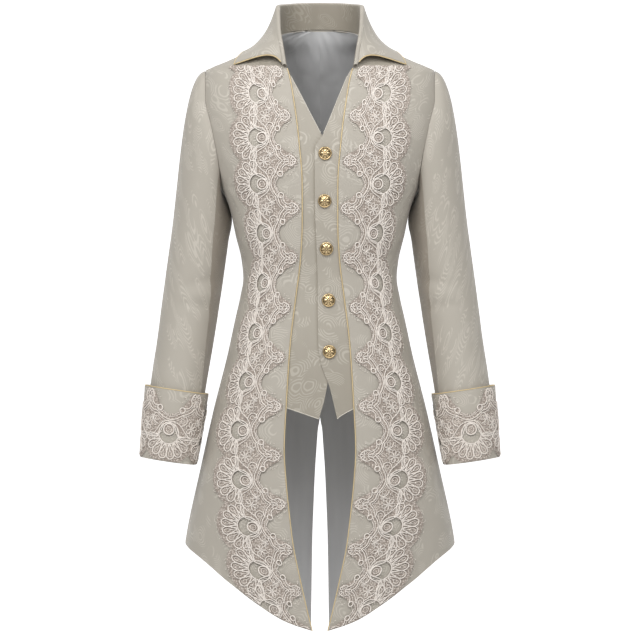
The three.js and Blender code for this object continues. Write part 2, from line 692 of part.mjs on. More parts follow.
// Lace borders, laid on the fronts by distance from the edge, with one gap cut at each ring motif
function fromEdge(z, distance, lift) {
  const start = angleAt(z, read(frontEdge, 'x', z));
  let angle = start;
  let walked = 0;
  let before = bodyPoint(z, angle, -1, lift).point;
  while (angle > 0.01) {
    const next = angle - 0.02;
    const point = bodyPoint(z, Math.max(next, 0), -1, lift).point;
    const step = point.distanceTo(before);
    if (walked + step >= distance) {
      return bodyPoint(z, angle - (0.02 * (distance - walked)) / step, -1, lift).point;
    }
    walked += step;
    before = point;
    angle = next;
  }
  return before;
}

function hemReach(z) {
  if (z > hem[0].front) return 400;
  const along = read(hem, 'along', z, 'front');
  const end = angleAt(z, read(frontEdge, 'x', z));
  let length = 0;
  let before = bodyPoint(z, end * along, -1).point;
  for (let k = 1; k <= 20; k += 1) {
    const point = bodyPoint(z, end * THREE.MathUtils.lerp(along, 1, k / 20), -1).point;
    length += point.distanceTo(before);
    before = point;
  }
  return length;
}

const laceRows = [{ z: -42, ring: 0.5 }, { z: -56, ring: 0.8 }, { z: -70.5, ring: 1 }];
for (let i = 0; i < laceMotifs.length - 1; i += 1) {
  for (const phase of [0.1, 0.3, 0.5, 0.7, 0.9]) {
    const z = THREE.MathUtils.lerp(laceMotifs[i].z, laceMotifs[i + 1].z, phase);
    laceRows.push({ z, ring: 0.5 + 0.5 * Math.cos(2 * Math.PI * phase), gap: phase === 0.1 });
  }
}
const laceGrids = [laceLift + laceCloth, laceLift].map((lift) => {
  const grid = [];
  for (const { z, ring } of laceRows) {
    const near = 2.5 + 24 * ring;
    const far = Math.min(read(laceMotifs, 'reach', z) - 14 * (1 - ring), hemReach(z) - 3);
    if (far - near < 12) break;
    const distances = [0, 0.25, 0.5, 0.75, 1].map((share) => THREE.MathUtils.lerp(far, near, share));
    grid.push(distances.map((distance) => fromEdge(z, distance, lift)));
  }
  return grid;
});
const laceGap = (i, j) => j === 1 && laceRows[i + 1].gap && i < 50;
for (const [side, mirror] of sides) {
  addWall(`lace_front_${side}`, laceGrids[0], laceGrids[1], laceColour(), { skip: laceGap, mirror });
}

export default group;
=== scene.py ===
import math
import random

import bmesh
import bpy
import numpy as np
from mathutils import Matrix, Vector


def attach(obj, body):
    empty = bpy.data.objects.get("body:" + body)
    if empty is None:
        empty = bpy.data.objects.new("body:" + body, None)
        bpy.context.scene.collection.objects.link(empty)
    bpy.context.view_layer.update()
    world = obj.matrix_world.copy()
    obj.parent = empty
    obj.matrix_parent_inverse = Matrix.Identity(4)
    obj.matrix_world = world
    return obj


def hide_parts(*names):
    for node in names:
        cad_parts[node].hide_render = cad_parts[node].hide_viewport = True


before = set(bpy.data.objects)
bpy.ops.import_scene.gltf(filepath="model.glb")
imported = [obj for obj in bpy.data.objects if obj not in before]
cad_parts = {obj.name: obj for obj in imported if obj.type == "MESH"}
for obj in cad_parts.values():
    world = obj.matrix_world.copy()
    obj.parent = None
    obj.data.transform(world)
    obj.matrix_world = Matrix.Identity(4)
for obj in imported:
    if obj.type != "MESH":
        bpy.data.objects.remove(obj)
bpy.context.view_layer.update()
mm = 0.001
random.seed(4)
sides = (("left", False), ("right", True))

# The coat's measures are in millimetres: +Z up, the front faces -Y, the left half is built and mirrored.
bodySections = [
    {"z": 36, "half": 66, "front": 50, "back": 67, "power": 2.0},
    {"z": 15, "half": 76.5, "front": 56, "back": 71, "power": 2.0},
    {"z": -12, "half": 134.5, "front": 66, "back": 80, "power": 2.3},
    {"z": -26, "half": 165.5, "front": 71.5, "back": 85, "power": 2.4},
    {"z": -39, "half": 194.5, "front": 77, "back": 90, "power": 2.5},
    {"z": -64, "half": 201, "front": 87, "back": 98, "power": 2.5},
    {"z": -95, "half": 203, "front": 97, "back": 104, "power": 2.5},
    {"z": -127, "half": 200, "front": 105, "back": 107, "power": 2.5},
    {"z": -158, "half": 194, "front": 111, "back": 108, "power": 2.5},
    {"z": -192, "half": 184, "front": 115, "back": 107, "power": 2.5},
    {"z": -236, "half": 168, "front": 117, "back": 104, "power": 2.5},
    {"z": -274, "half": 153, "front": 117, "back": 100, "power": 2.5},
    {"z": -320, "half": 143, "front": 114, "back": 95, "power": 2.45},
    {"z": -360, "half": 133.5, "front": 109, "back": 90, "power": 2.4},
    {"z": -392, "half": 130.5, "front": 106, "back": 88, "power": 2.4},
    {"z": -422, "half": 135.5, "front": 106, "back": 91, "power": 2.35},
    {"z": -462, "half": 144.5, "front": 109, "back": 98, "power": 2.3},
    {"z": -520, "half": 157, "front": 115, "back": 109, "power": 2.25},
    {"z": -605, "half": 178.5, "front": 124, "back": 122, "power": 2.2},
    {"z": -707, "half": 201.5, "front": 132, "back": 131, "power": 2.2},
    {"z": -840, "half": 229, "front": 137, "back": 138, "power": 2.2},
    {"z": -1000, "half": 246, "front": 139, "back": 142, "power": 2.2},
]
armhole = [
    {"z": -39, "front": 194.5, "back": 194.5}, {"z": -50, "front": 194.3, "back": 193.8},
    {"z": -64, "front": 193.8, "back": 192.2}, {"z": -90, "front": 193.5, "back": 189},
    {"z": -127, "front": 185, "back": 181}, {"z": -158, "front": 178.5, "back": 175.5},
    {"z": -192, "front": 171.7, "back": 170}, {"z": -215, "front": 168.5, "back": 168},
    {"z": -228, "front": 167.5, "back": 167.5}, {"z": -236, "front": 168, "back": 168},
]
frontEdge = [
    {"z": 15, "x": 76.5}, {"z": 5, "x": 74}, {"z": -5, "x": 70}, {"z": -20, "x": 63.5}, {"z": -36, "x": 57},
    {"z": -54, "x": 52}, {"z": -88, "x": 46}, {"z": -157, "x": 37}, {"z": -240, "x": 31},
    {"z": -300, "x": 31}, {"z": -360, "x": 34}, {"z": -425, "x": 42}, {"z": -500, "x": 51},
    {"z": -600, "x": 57.5}, {"z": -680, "x": 61}, {"z": -730, "x": 58}, {"z": -784, "x": 52.5},
    {"z": -840, "x": 45.5}, {"z": -895, "x": 34}, {"z": -950, "x": 21.5}, {"z": -982, "x": 13.5},
]
tailEdge = [
    {"z": 36, "x": 0}, {"z": -629, "x": 0}, {"z": -650, "x": 3.4}, {"z": -680, "x": 5.6},
    {"z": -720, "x": 8.3}, {"z": -780, "x": 11}, {"z": -843, "x": 13.2}, {"z": -947, "x": 14.8},
    {"z": -1000, "x": 15.6},
]
hem = [
    {"along": 0, "front": -838, "back": -838}, {"along": 0.22, "front": -848, "back": -850},
    {"along": 0.4, "front": -864, "back": -869}, {"along": 0.63, "front": -903, "back": -914},
    {"along": 0.775, "front": -936, "back": -950}, {"along": 0.9, "front": -965, "back": -982},
    {"along": 1, "front": -980, "back": -992},
]
underVestEdge = [
    {"z": -34, "x": -57}, {"z": -48, "x": -50.5}, {"z": -82, "x": -33}, {"z": -151, "x": 2.7},
    {"z": -168, "x": 12}, {"z": -300, "x": 13.5}, {"z": -556, "x": 13.5}, {"z": -590, "x": 8.5},
    {"z": -627, "x": -2},
]
overVestEdge = [
    {"z": -34, "x": -55}, {"z": -48, "x": -47.6}, {"z": -82, "x": -33.2}, {"z": -151, "x": -4.8},
    {"z": -176, "x": 8.9}, {"z": -258, "x": 8.7}, {"z": -386, "x": 4.2}, {"z": -498, "x": 3},
    {"z": -532, "x": -1.5}, {"z": -577, "x": -17}, {"z": -627, "x": -29},
]
armSections = [
    {"z": -320, "x": -203.2, "y": 8, "half": 49.5, "deep": 58, "seam": 0.73},
    {"z": -380, "x": -211.5, "y": 8, "half": 49.5, "deep": 57, "seam": 0.78},
    {"z": -440, "x": -220, "y": 5, "half": 49, "deep": 55, "seam": 0.845},
    {"z": -500, "x": -228.5, "y": -2, "half": 48, "deep": 53, "seam": 0.875},
    {"z": -560, "x": -238, "y": -12, "half": 47.3, "deep": 50, "seam": 0.92},
    {"z": -630, "x": -247.5, "y": -25, "half": 46.3, "deep": 47, "seam": 0.95},
    {"z": -690, "x": -254.7, "y": -36.3, "half": 45.2, "deep": 43.2, "seam": 0.97},
]
collarShape = [
    {"turn": 0, "rollX": -60, "rollY": -80, "rollZ": -32, "edgeX": -143.6, "edgeY": -55, "in": 27, "out": 17},
    {"turn": 0.12, "rollX": -63.5, "rollY": -72, "rollZ": -8, "edgeX": -140.5, "edgeY": -43, "in": 16,
     "out": 10},
    {"turn": 0.3, "rollX": -70, "rollY": -44, "rollZ": 34, "edgeX": -132, "edgeY": -24, "in": 0, "out": 2},
    {"turn": 0.5, "rollX": -71.5, "rollY": -2, "rollZ": 71, "edgeX": -125, "edgeY": 2, "in": 0, "out": 0},
    {"turn": 0.7, "rollX": -55, "rollY": 42, "rollZ": 77, "edgeX": -107, "edgeY": 57, "in": 0, "out": 0},
    {"turn": 0.85, "rollX": -31, "rollY": 62, "rollZ": 80, "edgeX": -60, "edgeY": 83, "in": 0, "out": 0},
    {"turn": 1, "rollX": 0, "rollY": 69, "rollZ": 81, "edgeX": 0, "edgeY": 92, "in": 0, "out": 0},
]
shoulderZ = -39
underarmZ = -236
armStartZ = -320
armEndZ = -690
neckSideZ = 15
neckRange = 21
neckCurve = 0.65
hemStartZ = -540
tailStartZ = -629
coatThick = 1.8
halfSeam = 0.16
patternShift = 0.137  # keeps the two sides of the coat from showing the same figures


def readTable(table, column, at, key="z"):
    places = np.array([row[key] for row in table], float)
    values = np.array([row[column] for row in table], float)
    at = np.asarray(at, float)
    if places[0] > places[-1]:
        places = -places
        at = -at
    run = np.diff(places)
    slope = np.diff(values) / run
    before, after = slope[:-1], slope[1:]
    total = np.where(before + after == 0, 1, before + after)
    inside = np.where(before * after > 0, 2 * before * after / total, 0)
    tangent = np.concatenate([slope[:1], inside, slope[-1:]])
    i = np.clip(np.searchsorted(places, at) - 1, 0, len(places) - 2)
    t = np.clip((at - places[i]) / run[i], 0, 1)
    level = (2 * t**3 - 3 * t**2 + 1) * values[i] + (3 * t**2 - 2 * t**3) * values[i + 1]
    return level + run[i] * ((t**3 - 2 * t**2 + t) * tangent[i] + (t**3 - t**2) * tangent[i + 1])


def smooth(value, start, end):
    t = np.clip((value - start) / (end - start), 0, 1)
    return t * t * (3 - 2 * t)


# Soft ridges and troughs of the worn cloth, by height and by share of the way round from the side seam.
frontCreases = [
    {"z": -205, "share": 0.16, "long": 60, "wide": 0.05, "lean": -0.0016, "rise": -1.6},
    {"z": -262, "share": 0.3, "long": 55, "wide": 0.05, "lean": -0.0022, "rise": 1.2},
    {"z": -372, "share": 0.22, "long": 26, "wide": 0.16, "lean": 0.0, "rise": -1.4},
    {"z": -398, "share": 0.3, "long": 14, "wide": 0.2, "lean": 0.002, "rise": 1.3},
    {"z": -700, "share": 0.3, "long": 170, "wide": 0.08, "lean": 0.0004, "rise": 2.4},
    {"z": -720, "share": 0.52, "long": 180, "wide": 0.07, "lean": 0.0002, "rise": -2.2},
    {"z": -760, "share": 0.72, "long": 150, "wide": 0.06, "lean": -0.0002, "rise": 1.8},
]
backCreases = [
    {"z": -150, "share": 0.35, "long": 70, "wide": 0.09, "lean": 0.001, "rise": -1.6},
    {"z": -372, "share": 0.4, "long": 22, "wide": 0.2, "lean": 0.0, "rise": -1.5},
    {"z": -402, "share": 0.55, "long": 16, "wide": 0.18, "lean": -0.002, "rise": 1.3},
    {"z": -700, "share": 0.28, "long": 170, "wide": 0.08, "lean": 0.0003, "rise": 2.6},
    {"z": -730, "share": 0.5, "long": 190, "wide": 0.07, "lean": 0.0, "rise": -2.6},
    {"z": -720, "share": 0.74, "long": 170, "wide": 0.08, "lean": -0.0002, "rise": 2.2},
]


def creaseRise(creases, z, share):
    rise = np.zeros(np.broadcast(z, share).shape)
    for c in creases:
        middle = c["share"] + c["lean"] * (z - c["z"])
        along = (z - c["z"]) / c["long"]
        across = (share - middle) / c["wide"]
        rise = rise + c["rise"] * np.exp(-along**2 - across**2)
    return rise


def bodyPoint(z, angle, facing, lift=0.0, creased=True):
    z = np.asarray(z, float)
    angle = np.asarray(angle, float)
    z, angle = np.broadcast_arrays(z, angle)
    column = "front" if facing < 0 else "back"
    half, deep = readTable(bodySections, "half", z), readTable(bodySections, column, z)
    power = readTable(bodySections, "power", z)
    across = np.cos(angle)
    x = np.abs(across) ** (2 / power)
    y = np.maximum(np.sin(angle), 0) ** (2 / power)
    halfSlope = readTable(bodySections, "half", z + 0.5) - readTable(bodySections, "half", z - 0.5)
    deepSlope = readTable(bodySections, column, z + 0.5) - readTable(bodySections, column, z - 0.5)
    normal = np.stack([
        -np.sign(across) * x ** (power - 1) / half,
        facing * y ** (power - 1) / deep,
        -(x**power) * halfSlope / half - (y**power) * deepSlope / deep,
    ], axis=-1)
    normal /= np.linalg.norm(normal, axis=-1, keepdims=True)
    point = np.stack([-np.sign(across) * half * x, facing * deep * y, z], axis=-1)
    if creased:
        creases = frontCreases if facing < 0 else backCreases
        lift = lift + creaseRise(creases, z, np.clip(angle / (math.pi / 2), 0, 1))
    return point + normal * np.asarray(lift)[..., None], normal


def angleAt(z, x):
    share = np.clip(x / readTable(bodySections, "half", z), -1, 1)
    return np.arccos(np.sign(share) * np.abs(share) ** (readTable(bodySections, "power", z) / 2))


def armholeAngle(z, facing):
    column = "front" if facing < 0 else "back"
    inside = (z < shoulderZ) & (z > underarmZ)
    return np.where(inside, angleAt(z, readTable(armhole, column, z)), 0.0)


def frontAngle(z):
    return angleAt(z, readTable(frontEdge, "x", z))


def heightAt(x, y):
    low, high = -200.0, 30.0
    for _ in range(40):
        z = (low + high) / 2
        power = float(readTable(bodySections, "power", z))
        deep = float(readTable(bodySections, "front" if y < 0 else "back", z))
        if (abs(x) / float(readTable(bodySections, "half", z))) ** power + (abs(y) / deep) ** power < 1:
            low = z
        else:
            high = z
    return low


def gridNormals(points, wrap=False):
    down = np.gradient(points, axis=0)
    if wrap:
        along = np.roll(points, -1, axis=1) - np.roll(points, 1, axis=1)
    else:
        along = np.gradient(points, axis=1)
    normal = np.cross(down, along)
    return normal / np.maximum(np.linalg.norm(normal, axis=-1, keepdims=True), 1e-9)


def lengths(points, axis):
    step = np.linalg.norm(np.diff(points, axis=axis), axis=-1)
    total = np.cumsum(step, axis=axis)
    start = np.zeros_like(np.take(total, [0], axis=axis))
    return np.concatenate([start, total], axis=axis)


# Row and column of a corner of a fresh grid.
def gridSpot(v, rows, columns):
    return round((v.co.y + 1) / 2 * (rows - 1)), round((v.co.x + 1) / 2 * (columns - 1))


def inMetres(point, mirror):
    return Vector((-point[0] if mirror else point[0], point[1], point[2])) * mm


# Makes a finished bmesh a piece of the coat, in place of the CAD nodes that are named.
def makePiece(bm, name, material, slotName, *nodes):
    mesh = bpy.data.meshes.new(name)
    bm.to_mesh(mesh)
    bm.free()
    mesh.materials.append(material)
    piece = bpy.data.objects.new(name, mesh)
    bpy.context.scene.collection.objects.link(piece)
    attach(piece, "root")
    if nodes:
        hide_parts(*nodes)
    return piece


# A sheet through a grid of points, in millimetres, with the cloth's own lengths as its UV.
def clothMesh(name, points, material, slotName, node, thick, mirror=False, turned=False, wrap=False,
              shade=None):
    rows, columns = points.shape[:2]
    if wrap:
        points = np.concatenate([points, points[:, :1]], axis=1)
        columns += 1
    across, down = lengths(points, 1), lengths(points, 0)
    bm = bmesh.new()
    bmesh.ops.create_grid(bm, x_segments=columns - 1, y_segments=rows - 1, size=1)
    uvLayer = bm.loops.layers.uv.new("cloth")
    # the shade attribute holds the amount of painted shade at each corner
    shadeLayer = bm.verts.layers.float.new("shade")
    shift = patternShift if mirror else 0
    places = {}
    for v in bm.verts:
        i, j = gridSpot(v, rows, columns)
        v.co = inMetres(points[i, j], mirror)
        v[shadeLayer] = 0 if shade is None else float(shade[i, j])
        places[v.index] = (across[i, j] * mm + shift, down[i, j] * mm + shift)
    for face in bm.faces:
        face.smooth = True
        for loop in face.loops:
            loop[uvLayer].uv = places[loop.vert.index]
    if mirror != turned:
        bmesh.ops.reverse_faces(bm, faces=bm.faces[:])
    if wrap:
        bmesh.ops.remove_doubles(bm, verts=bm.verts[:], dist=1e-6)
    for edge in bm.edges:
        edge.smooth = not edge.is_boundary
    piece = makePiece(bm, name, material, slotName, node)
    solid = piece.modifiers.new("thickness", "SOLIDIFY")
    solid.thickness = thick * mm
    solid.offset = -1
    return piece


# Materials
def newMaterial(name):
    material = bpy.data.materials.new(name)
    material.use_nodes = True
    nodes, links = material.node_tree.nodes, material.node_tree.links
    shader = nodes["Principled BSDF"]
    return material, nodes, links, shader


def addNode(nodes, kind, **settings):
    node = nodes.new(kind)
    for key, value in settings.items():
        if key in node.inputs:
            node.inputs[key].default_value = value
        else:
            setattr(node, key, value)
    return node


def mathNode(nodes, links, operation, a, b=None):
    node = nodes.new("ShaderNodeMath")
    node.operation = operation
    for socket, value in zip(node.inputs, (a, b)):
        if value is None:
            continue
        if isinstance(value, (int, float)):
            socket.default_value = value
        else:
            links.new(value, socket)
    return node.outputs[0]


# shade is the tint that painted shade multiplies the cloth's colour by
jacquard = {
    "ground": (0.43, 0.397, 0.342, 1), "figure": (0.52, 0.485, 0.423, 1), "shade": (0.7, 0.68, 0.64, 1),
    "repeat": 0.042, "lines": 80.0, "warp": 0.38, "rough": 0.62, "figureRough": 0.5, "sheen": 0.12,
}


def clothMaterial(name, look):
    material, nodes, links, shader = newMaterial(name)
    uv = addNode(nodes, "ShaderNodeUVMap", uv_map="cloth")
    scale = addNode(nodes, "ShaderNodeMapping")
    scale.inputs["Scale"].default_value = (1 / look["repeat"], 1 / look["repeat"], 1)
    links.new(uv.outputs[0], scale.inputs[0])
    warp = addNode(nodes, "ShaderNodeTexNoise", Scale=1.3, Detail=2.0)
    links.new(scale.outputs[0], warp.inputs["Vector"])
    bend = addNode(nodes, "ShaderNodeVectorMath", operation="MULTIPLY_ADD")
    bend.inputs[1].default_value = (look["warp"], look["warp"], 0)
    links.new(warp.outputs["Color"], bend.inputs[0])
    links.new(scale.outputs[0], bend.inputs[2])
    # fans of fine lines round scattered centres, kept only inside patches of a second set of cells
    cells = addNode(nodes, "ShaderNodeTexVoronoi", Scale=1.0, Randomness=0.85)
    links.new(bend.outputs[0], cells.inputs["Vector"])
    turns = mathNode(nodes, links, "MULTIPLY", cells.outputs["Distance"], look["lines"])
    rings = mathNode(nodes, links, "SINE", turns)
    heart = addNode(nodes, "ShaderNodeMapRange")
    heart.inputs["From Min"].default_value = 0.05
    heart.inputs["From Max"].default_value = 0.15
    links.new(cells.outputs["Distance"], heart.inputs["Value"])
    rings = mathNode(nodes, links, "MULTIPLY", rings, heart.outputs[0])
    small = addNode(nodes, "ShaderNodeTexVoronoi", Scale=1.9, Randomness=0.9, feature="SMOOTH_F1")
    links.new(bend.outputs[0], small.inputs["Vector"])
    patch = addNode(nodes, "ShaderNodeMapRange")
    patch.inputs["From Min"].default_value = 0.5
    patch.inputs["From Max"].default_value = 0.34
    links.new(small.outputs["Distance"], patch.inputs["Value"])
    ramp = addNode(nodes, "ShaderNodeValToRGB")
    ramp.color_ramp.elements[0].position = 0.1
    ramp.color_ramp.elements[1].position = 0.55
    links.new(mathNode(nodes, links, "MULTIPLY", rings, patch.outputs[0]), ramp.inputs[0])
    figure = ramp.outputs[0]
    colour = addNode(nodes, "ShaderNodeMix", data_type="RGBA")
    colour.inputs["A"].default_value = look["ground"]
    colour.inputs["B"].default_value = look["figure"]
    links.new(figure, colour.inputs["Factor"])
    # painted shade: the colour is multiplied towards the shade tint by the shade attribute, where cloth lies
    # in shade under the collar, inside its stand and on the waistcoat
    shaded = addNode(nodes, "ShaderNodeMix", data_type="RGBA", blend_type="MULTIPLY")
    shaded.inputs["B"].default_value = look["shade"]
    paintedShade = addNode(nodes, "ShaderNodeAttribute", attribute_name="shade")
    links.new(paintedShade.outputs["Fac"], shaded.inputs["Factor"])
    links.new(colour.outputs["Result"], shaded.inputs["A"])
    links.new(shaded.outputs["Result"], shader.inputs["Base Color"])
    rough = addNode(nodes, "ShaderNodeMapRange")
    rough.inputs["To Min"].default_value = look["rough"]
    rough.inputs["To Max"].default_value = look["figureRough"]
    links.new(figure, rough.inputs["Value"])
    links.new(rough.outputs[0], shader.inputs["Roughness"])
    weave = addNode(nodes, "ShaderNodeTexWave", Scale=420.0, Distortion=0.6)
    weave.bands_direction = "DIAGONAL"
    links.new(uv.outputs[0], weave.inputs["Vector"])
    height = mathNode(nodes, links, "MULTIPLY_ADD", figure, 0.6)
    links.new(weave.outputs["Fac"], height.node.inputs[2])
    bump = addNode(nodes, "ShaderNodeBump", Strength=0.22, Distance=0.0004)
    links.new(height, bump.inputs["Height"])
    links.new(bump.outputs[0], shader.inputs["Normal"])
    shader.inputs["Sheen Weight"].default_value = look["sheen"]
    shader.inputs["Sheen Roughness"].default_value = 0.4
    return material


def plainMaterial(name, colour, rough, metal=0.0, sheen=0.0, grain=600.0, bumpHeight=0.0002, spread=0.12,
                  stretch=(1, 1, 1), lean=0.0):
    material, nodes, links, shader = newMaterial(name)
    coordinates = addNode(nodes, "ShaderNodeTexCoord")
    turned = addNode(nodes, "ShaderNodeMapping")
    turned.inputs["Scale"].default_value = stretch
    turned.inputs["Rotation"].default_value = (0, lean, 0)
    links.new(coordinates.outputs["Object"], turned.inputs[0])
    noise = addNode(nodes, "ShaderNodeTexNoise", Scale=grain, Detail=3.0)
    links.new(turned.outputs[0], noise.inputs["Vector"])
    mix = addNode(nodes, "ShaderNodeMix", data_type="RGBA")
    mix.inputs["A"].default_value = tuple(c * (1 - spread) for c in colour) + (1,)
    mix.inputs["B"].default_value = tuple(min(c * (1 + spread), 1) for c in colour) + (1,)
    links.new(noise.outputs["Fac"], mix.inputs["Factor"])
    links.new(mix.outputs["Result"], shader.inputs["Base Color"])
    bump = addNode(nodes, "ShaderNodeBump", Strength=0.3, Distance=bumpHeight)
    links.new(noise.outputs["Fac"], bump.inputs["Height"])
    links.new(bump.outputs[0], shader.inputs["Normal"])
    shader.inputs["Roughness"].default_value = rough
    shader.inputs["Metallic"].default_value = metal
    shader.inputs["Sheen Weight"].default_value = sheen
    return material


def lookOfNet(name, look):
    material, nodes, links, shader = newMaterial(name)
    uv = addNode(nodes, "ShaderNodeUVMap", uv_map="cloth")
    holes = addNode(nodes, "ShaderNodeTexVoronoi", Scale=1 / look["mesh"], Randomness=0.55)
    links.new(uv.outputs[0], holes.inputs["Vector"])
    # painted shade: the net is opaque, and the dark colour of its holes stands for the shaded cloth seen
    # through them; the knots and threads are the net's own colour
    ramp = addNode(nodes, "ShaderNodeValToRGB")
    ramp.color_ramp.elements[0].position = 0.16
    ramp.color_ramp.elements[0].color = look["knot"]
    ramp.color_ramp.elements[1].position = 0.66
    ramp.color_ramp.elements[1].color = look["shadedHole"]
    between = ramp.color_ramp.elements.new(0.36)
    between.color = look["thread"]
    links.new(holes.outputs["Distance"], ramp.inputs[0])
    links.new(ramp.outputs[0], shader.inputs["Base Color"])
    bump = addNode(nodes, "ShaderNodeBump", Strength=0.5, Distance=0.0005)
    links.new(holes.outputs["Distance"], bump.inputs["Height"])
    links.new(bump.outputs[0], shader.inputs["Normal"])
    shader.inputs["Roughness"].default_value = 0.85
    return material


# the holes' colour is painted shade of the cloth under the net
netLook = {
    "mesh": 0.003, "knot": (0.77, 0.7, 0.635, 1), "thread": (0.47, 0.41, 0.36, 1),
    "shadedHole": (0.29, 0.245, 0.21, 1),
}
coatMaterial = clothMaterial("coatCloth", jacquard)
# painted shade: the under sleeves take a darker copy of the coat's cloth for the shade between arm and body
underShadeLook = dict(jacquard, ground=(0.34, 0.3, 0.25, 1), figure=(0.37, 0.33, 0.275, 1))
underShadeMaterial = clothMaterial("underSleeveShadedCloth", underShadeLook)
vestLook = dict(jacquard, ground=(0.395, 0.362, 0.305, 1), figure=(0.5, 0.465, 0.4, 1))
vestMaterial = clothMaterial("vestCloth", vestLook)
# painted sheen and shade: long slanting streaks lighten and darken the lining's colour by up to 30 percent,
# along its folds; the same noise bumps the surface
liningMaterial = plainMaterial("lining", (0.51, 0.51, 0.513), 0.42, sheen=0.1, grain=24, bumpHeight=0.002,
                               spread=0.3, stretch=(1, 1, 0.12), lean=-0.33)
netMaterial = lookOfNet("laceNet", netLook)
laceMaterial = plainMaterial("laceCord", (0.83, 0.765, 0.7), 0.7, sheen=0.2, grain=900, bumpHeight=0.0003)
pipingMaterial = plainMaterial("piping", (0.7, 0.555, 0.31), 0.45, metal=0.1, grain=1500, spread=0.25)
buttonMaterial = plainMaterial("buttonMetal", (0.66, 0.5, 0.28), 0.26, metal=0.95, grain=260, spread=0.25)
buttonNodes, buttonLinks = buttonMaterial.node_tree.nodes, buttonMaterial.node_tree.links
buttonShader = buttonNodes["Principled BSDF"]
# painted shade: the metal darkens by the groove attribute between the lobes, in the rings round the rim and
# the centre, and on the rim's outer side
grooveShade = addNode(buttonNodes, "ShaderNodeMix", data_type="RGBA")
grooveShade.inputs["B"].default_value = (0.09, 0.055, 0.022, 1)
groove = addNode(buttonNodes, "ShaderNodeAttribute", attribute_name="groove")
buttonLinks.new(groove.outputs["Fac"], grooveShade.inputs["Factor"])
buttonLinks.new(buttonShader.inputs["Base Color"].links[0].from_socket, grooveShade.inputs["A"])
buttonLinks.new(grooveShade.outputs["Result"], buttonShader.inputs["Base Color"])
print("materials done")


# Fronts, backs and lining
def panelRows(levels, facing, start, finish, columns, tailRows, hemLift=0.0):
    along = np.linspace(0, 1, columns + 1)
    rows, angles = [], []
    hemZ = readTable(hem, "front" if facing < 0 else "back", along, "along") + hemLift
    for z in levels:
        rows.append(np.full_like(along, z))
    for k in range(1, tailRows + 1):
        rows.append(levels[-1] + (hemZ - levels[-1]) * k / tailRows)
    for z in rows:
        angles.append(start(z) + (finish(z) - start(z)) * along)
    return np.array(rows), np.array(angles)


def neckAngle(z):
    return np.arcsin(np.clip((z - neckSideZ) / neckRange, 0, 1) ** (1 / neckCurve))


def backStart(z):
    return np.where(z > neckSideZ, neckAngle(z), armholeAngle(z, 1))


def tailAngle(z):
    return angleAt(z, readTable(tailEdge, "x", z))


panelFine = {"columns": 44, "step": 7.0, "tailRows": 50}
frontLevels = np.linspace(12, hemStartZ, int((12 - hemStartZ) / panelFine["step"]))
frontZ, frontAngles = panelRows(frontLevels, -1, lambda z: armholeAngle(z, -1), frontAngle,
                                panelFine["columns"], panelFine["tailRows"])
frontPoints, _ = bodyPoint(frontZ, frontAngles, -1)
frontPoints[..., 1] -= halfSeam
backLevels = np.linspace(35, hemStartZ, int((35 - hemStartZ) / panelFine["step"]))
backZ, backAngles = panelRows(backLevels, 1, backStart, tailAngle,
                              panelFine["columns"], panelFine["tailRows"])
backPoints, _ = bodyPoint(backZ, backAngles, 1)
backPoints[..., 1] += halfSeam
seamRows = backZ[:, -1] > tailStartZ  # above the opening the two backs close on the middle line
backPoints[~seamRows, :, 0] -= halfSeam

# The lining falls in long slanting folds behind the neck, as satin does.
liningThick = 0.9
liningGap = 1.2
liningFolds = [
    {"x": -44, "slope": -0.36, "wide": 4.5, "deep": 2.4, "top": 30, "end": -230},
    {"x": -30, "slope": -0.3, "wide": 3.5, "deep": 1.8, "top": 26, "end": -260},
    {"x": -16, "slope": -0.42, "wide": 5.5, "deep": 2.8, "top": 30, "end": -280},
    {"x": 4, "slope": -0.38, "wide": 4.0, "deep": 2.2, "top": 20, "end": -240},
    {"x": 17, "slope": -0.34, "wide": 6.0, "deep": 2.6, "top": 30, "end": -250},
    {"x": 36, "slope": -0.25, "wide": 4.5, "deep": 1.6, "top": 24, "end": -220},
]


def liningSurface(mirror):
    levels = np.linspace(33, hemStartZ, 100)
    z, angles = panelRows(levels, 1, lambda h: backStart(h) + 0.03, tailAngle, 40, 40, 8)
    points, normal = bodyPoint(z, angles, 1, -coatThick - liningGap)
    points[z[:, -1] < tailStartZ, :, 0] -= 2 * halfSeam
    x = -points[..., 0] if mirror else points[..., 0]
    push = np.zeros_like(z)
    for fold in liningFolds:
        middle = fold["x"] + fold["slope"] * z
        fade = 1 / (1 + np.exp((z - fold["top"]) / 5)) / (1 + np.exp((fold["end"] - z) / 25))
        push += fold["deep"] * fade * np.exp(-(((x - middle) / fold["wide"]) ** 2))
    return points - normal * push[..., None]


# painted shade under the collar's fall, on the fronts above the lace
frontShade = smooth(frontPoints[..., 2], -42, -34) * (1 - smooth(-frontPoints[..., 0], 118, 130))
for side, mirror in sides:
    front = clothMesh(f"{side}Front", frontPoints, coatMaterial, "coat_cloth", f"front_{side}", coatThick,
                      mirror, turned=True, shade=frontShade)
    back = clothMesh(f"{side}Back", backPoints, coatMaterial, "coat_cloth", f"back_{side}", coatThick, mirror)
    lining = clothMesh(f"{side}Lining", liningSurface(mirror), liningMaterial, "lining",
                       f"back_lining_{side}", liningThick, mirror, turned=True)
print("fronts, backs and lining done")


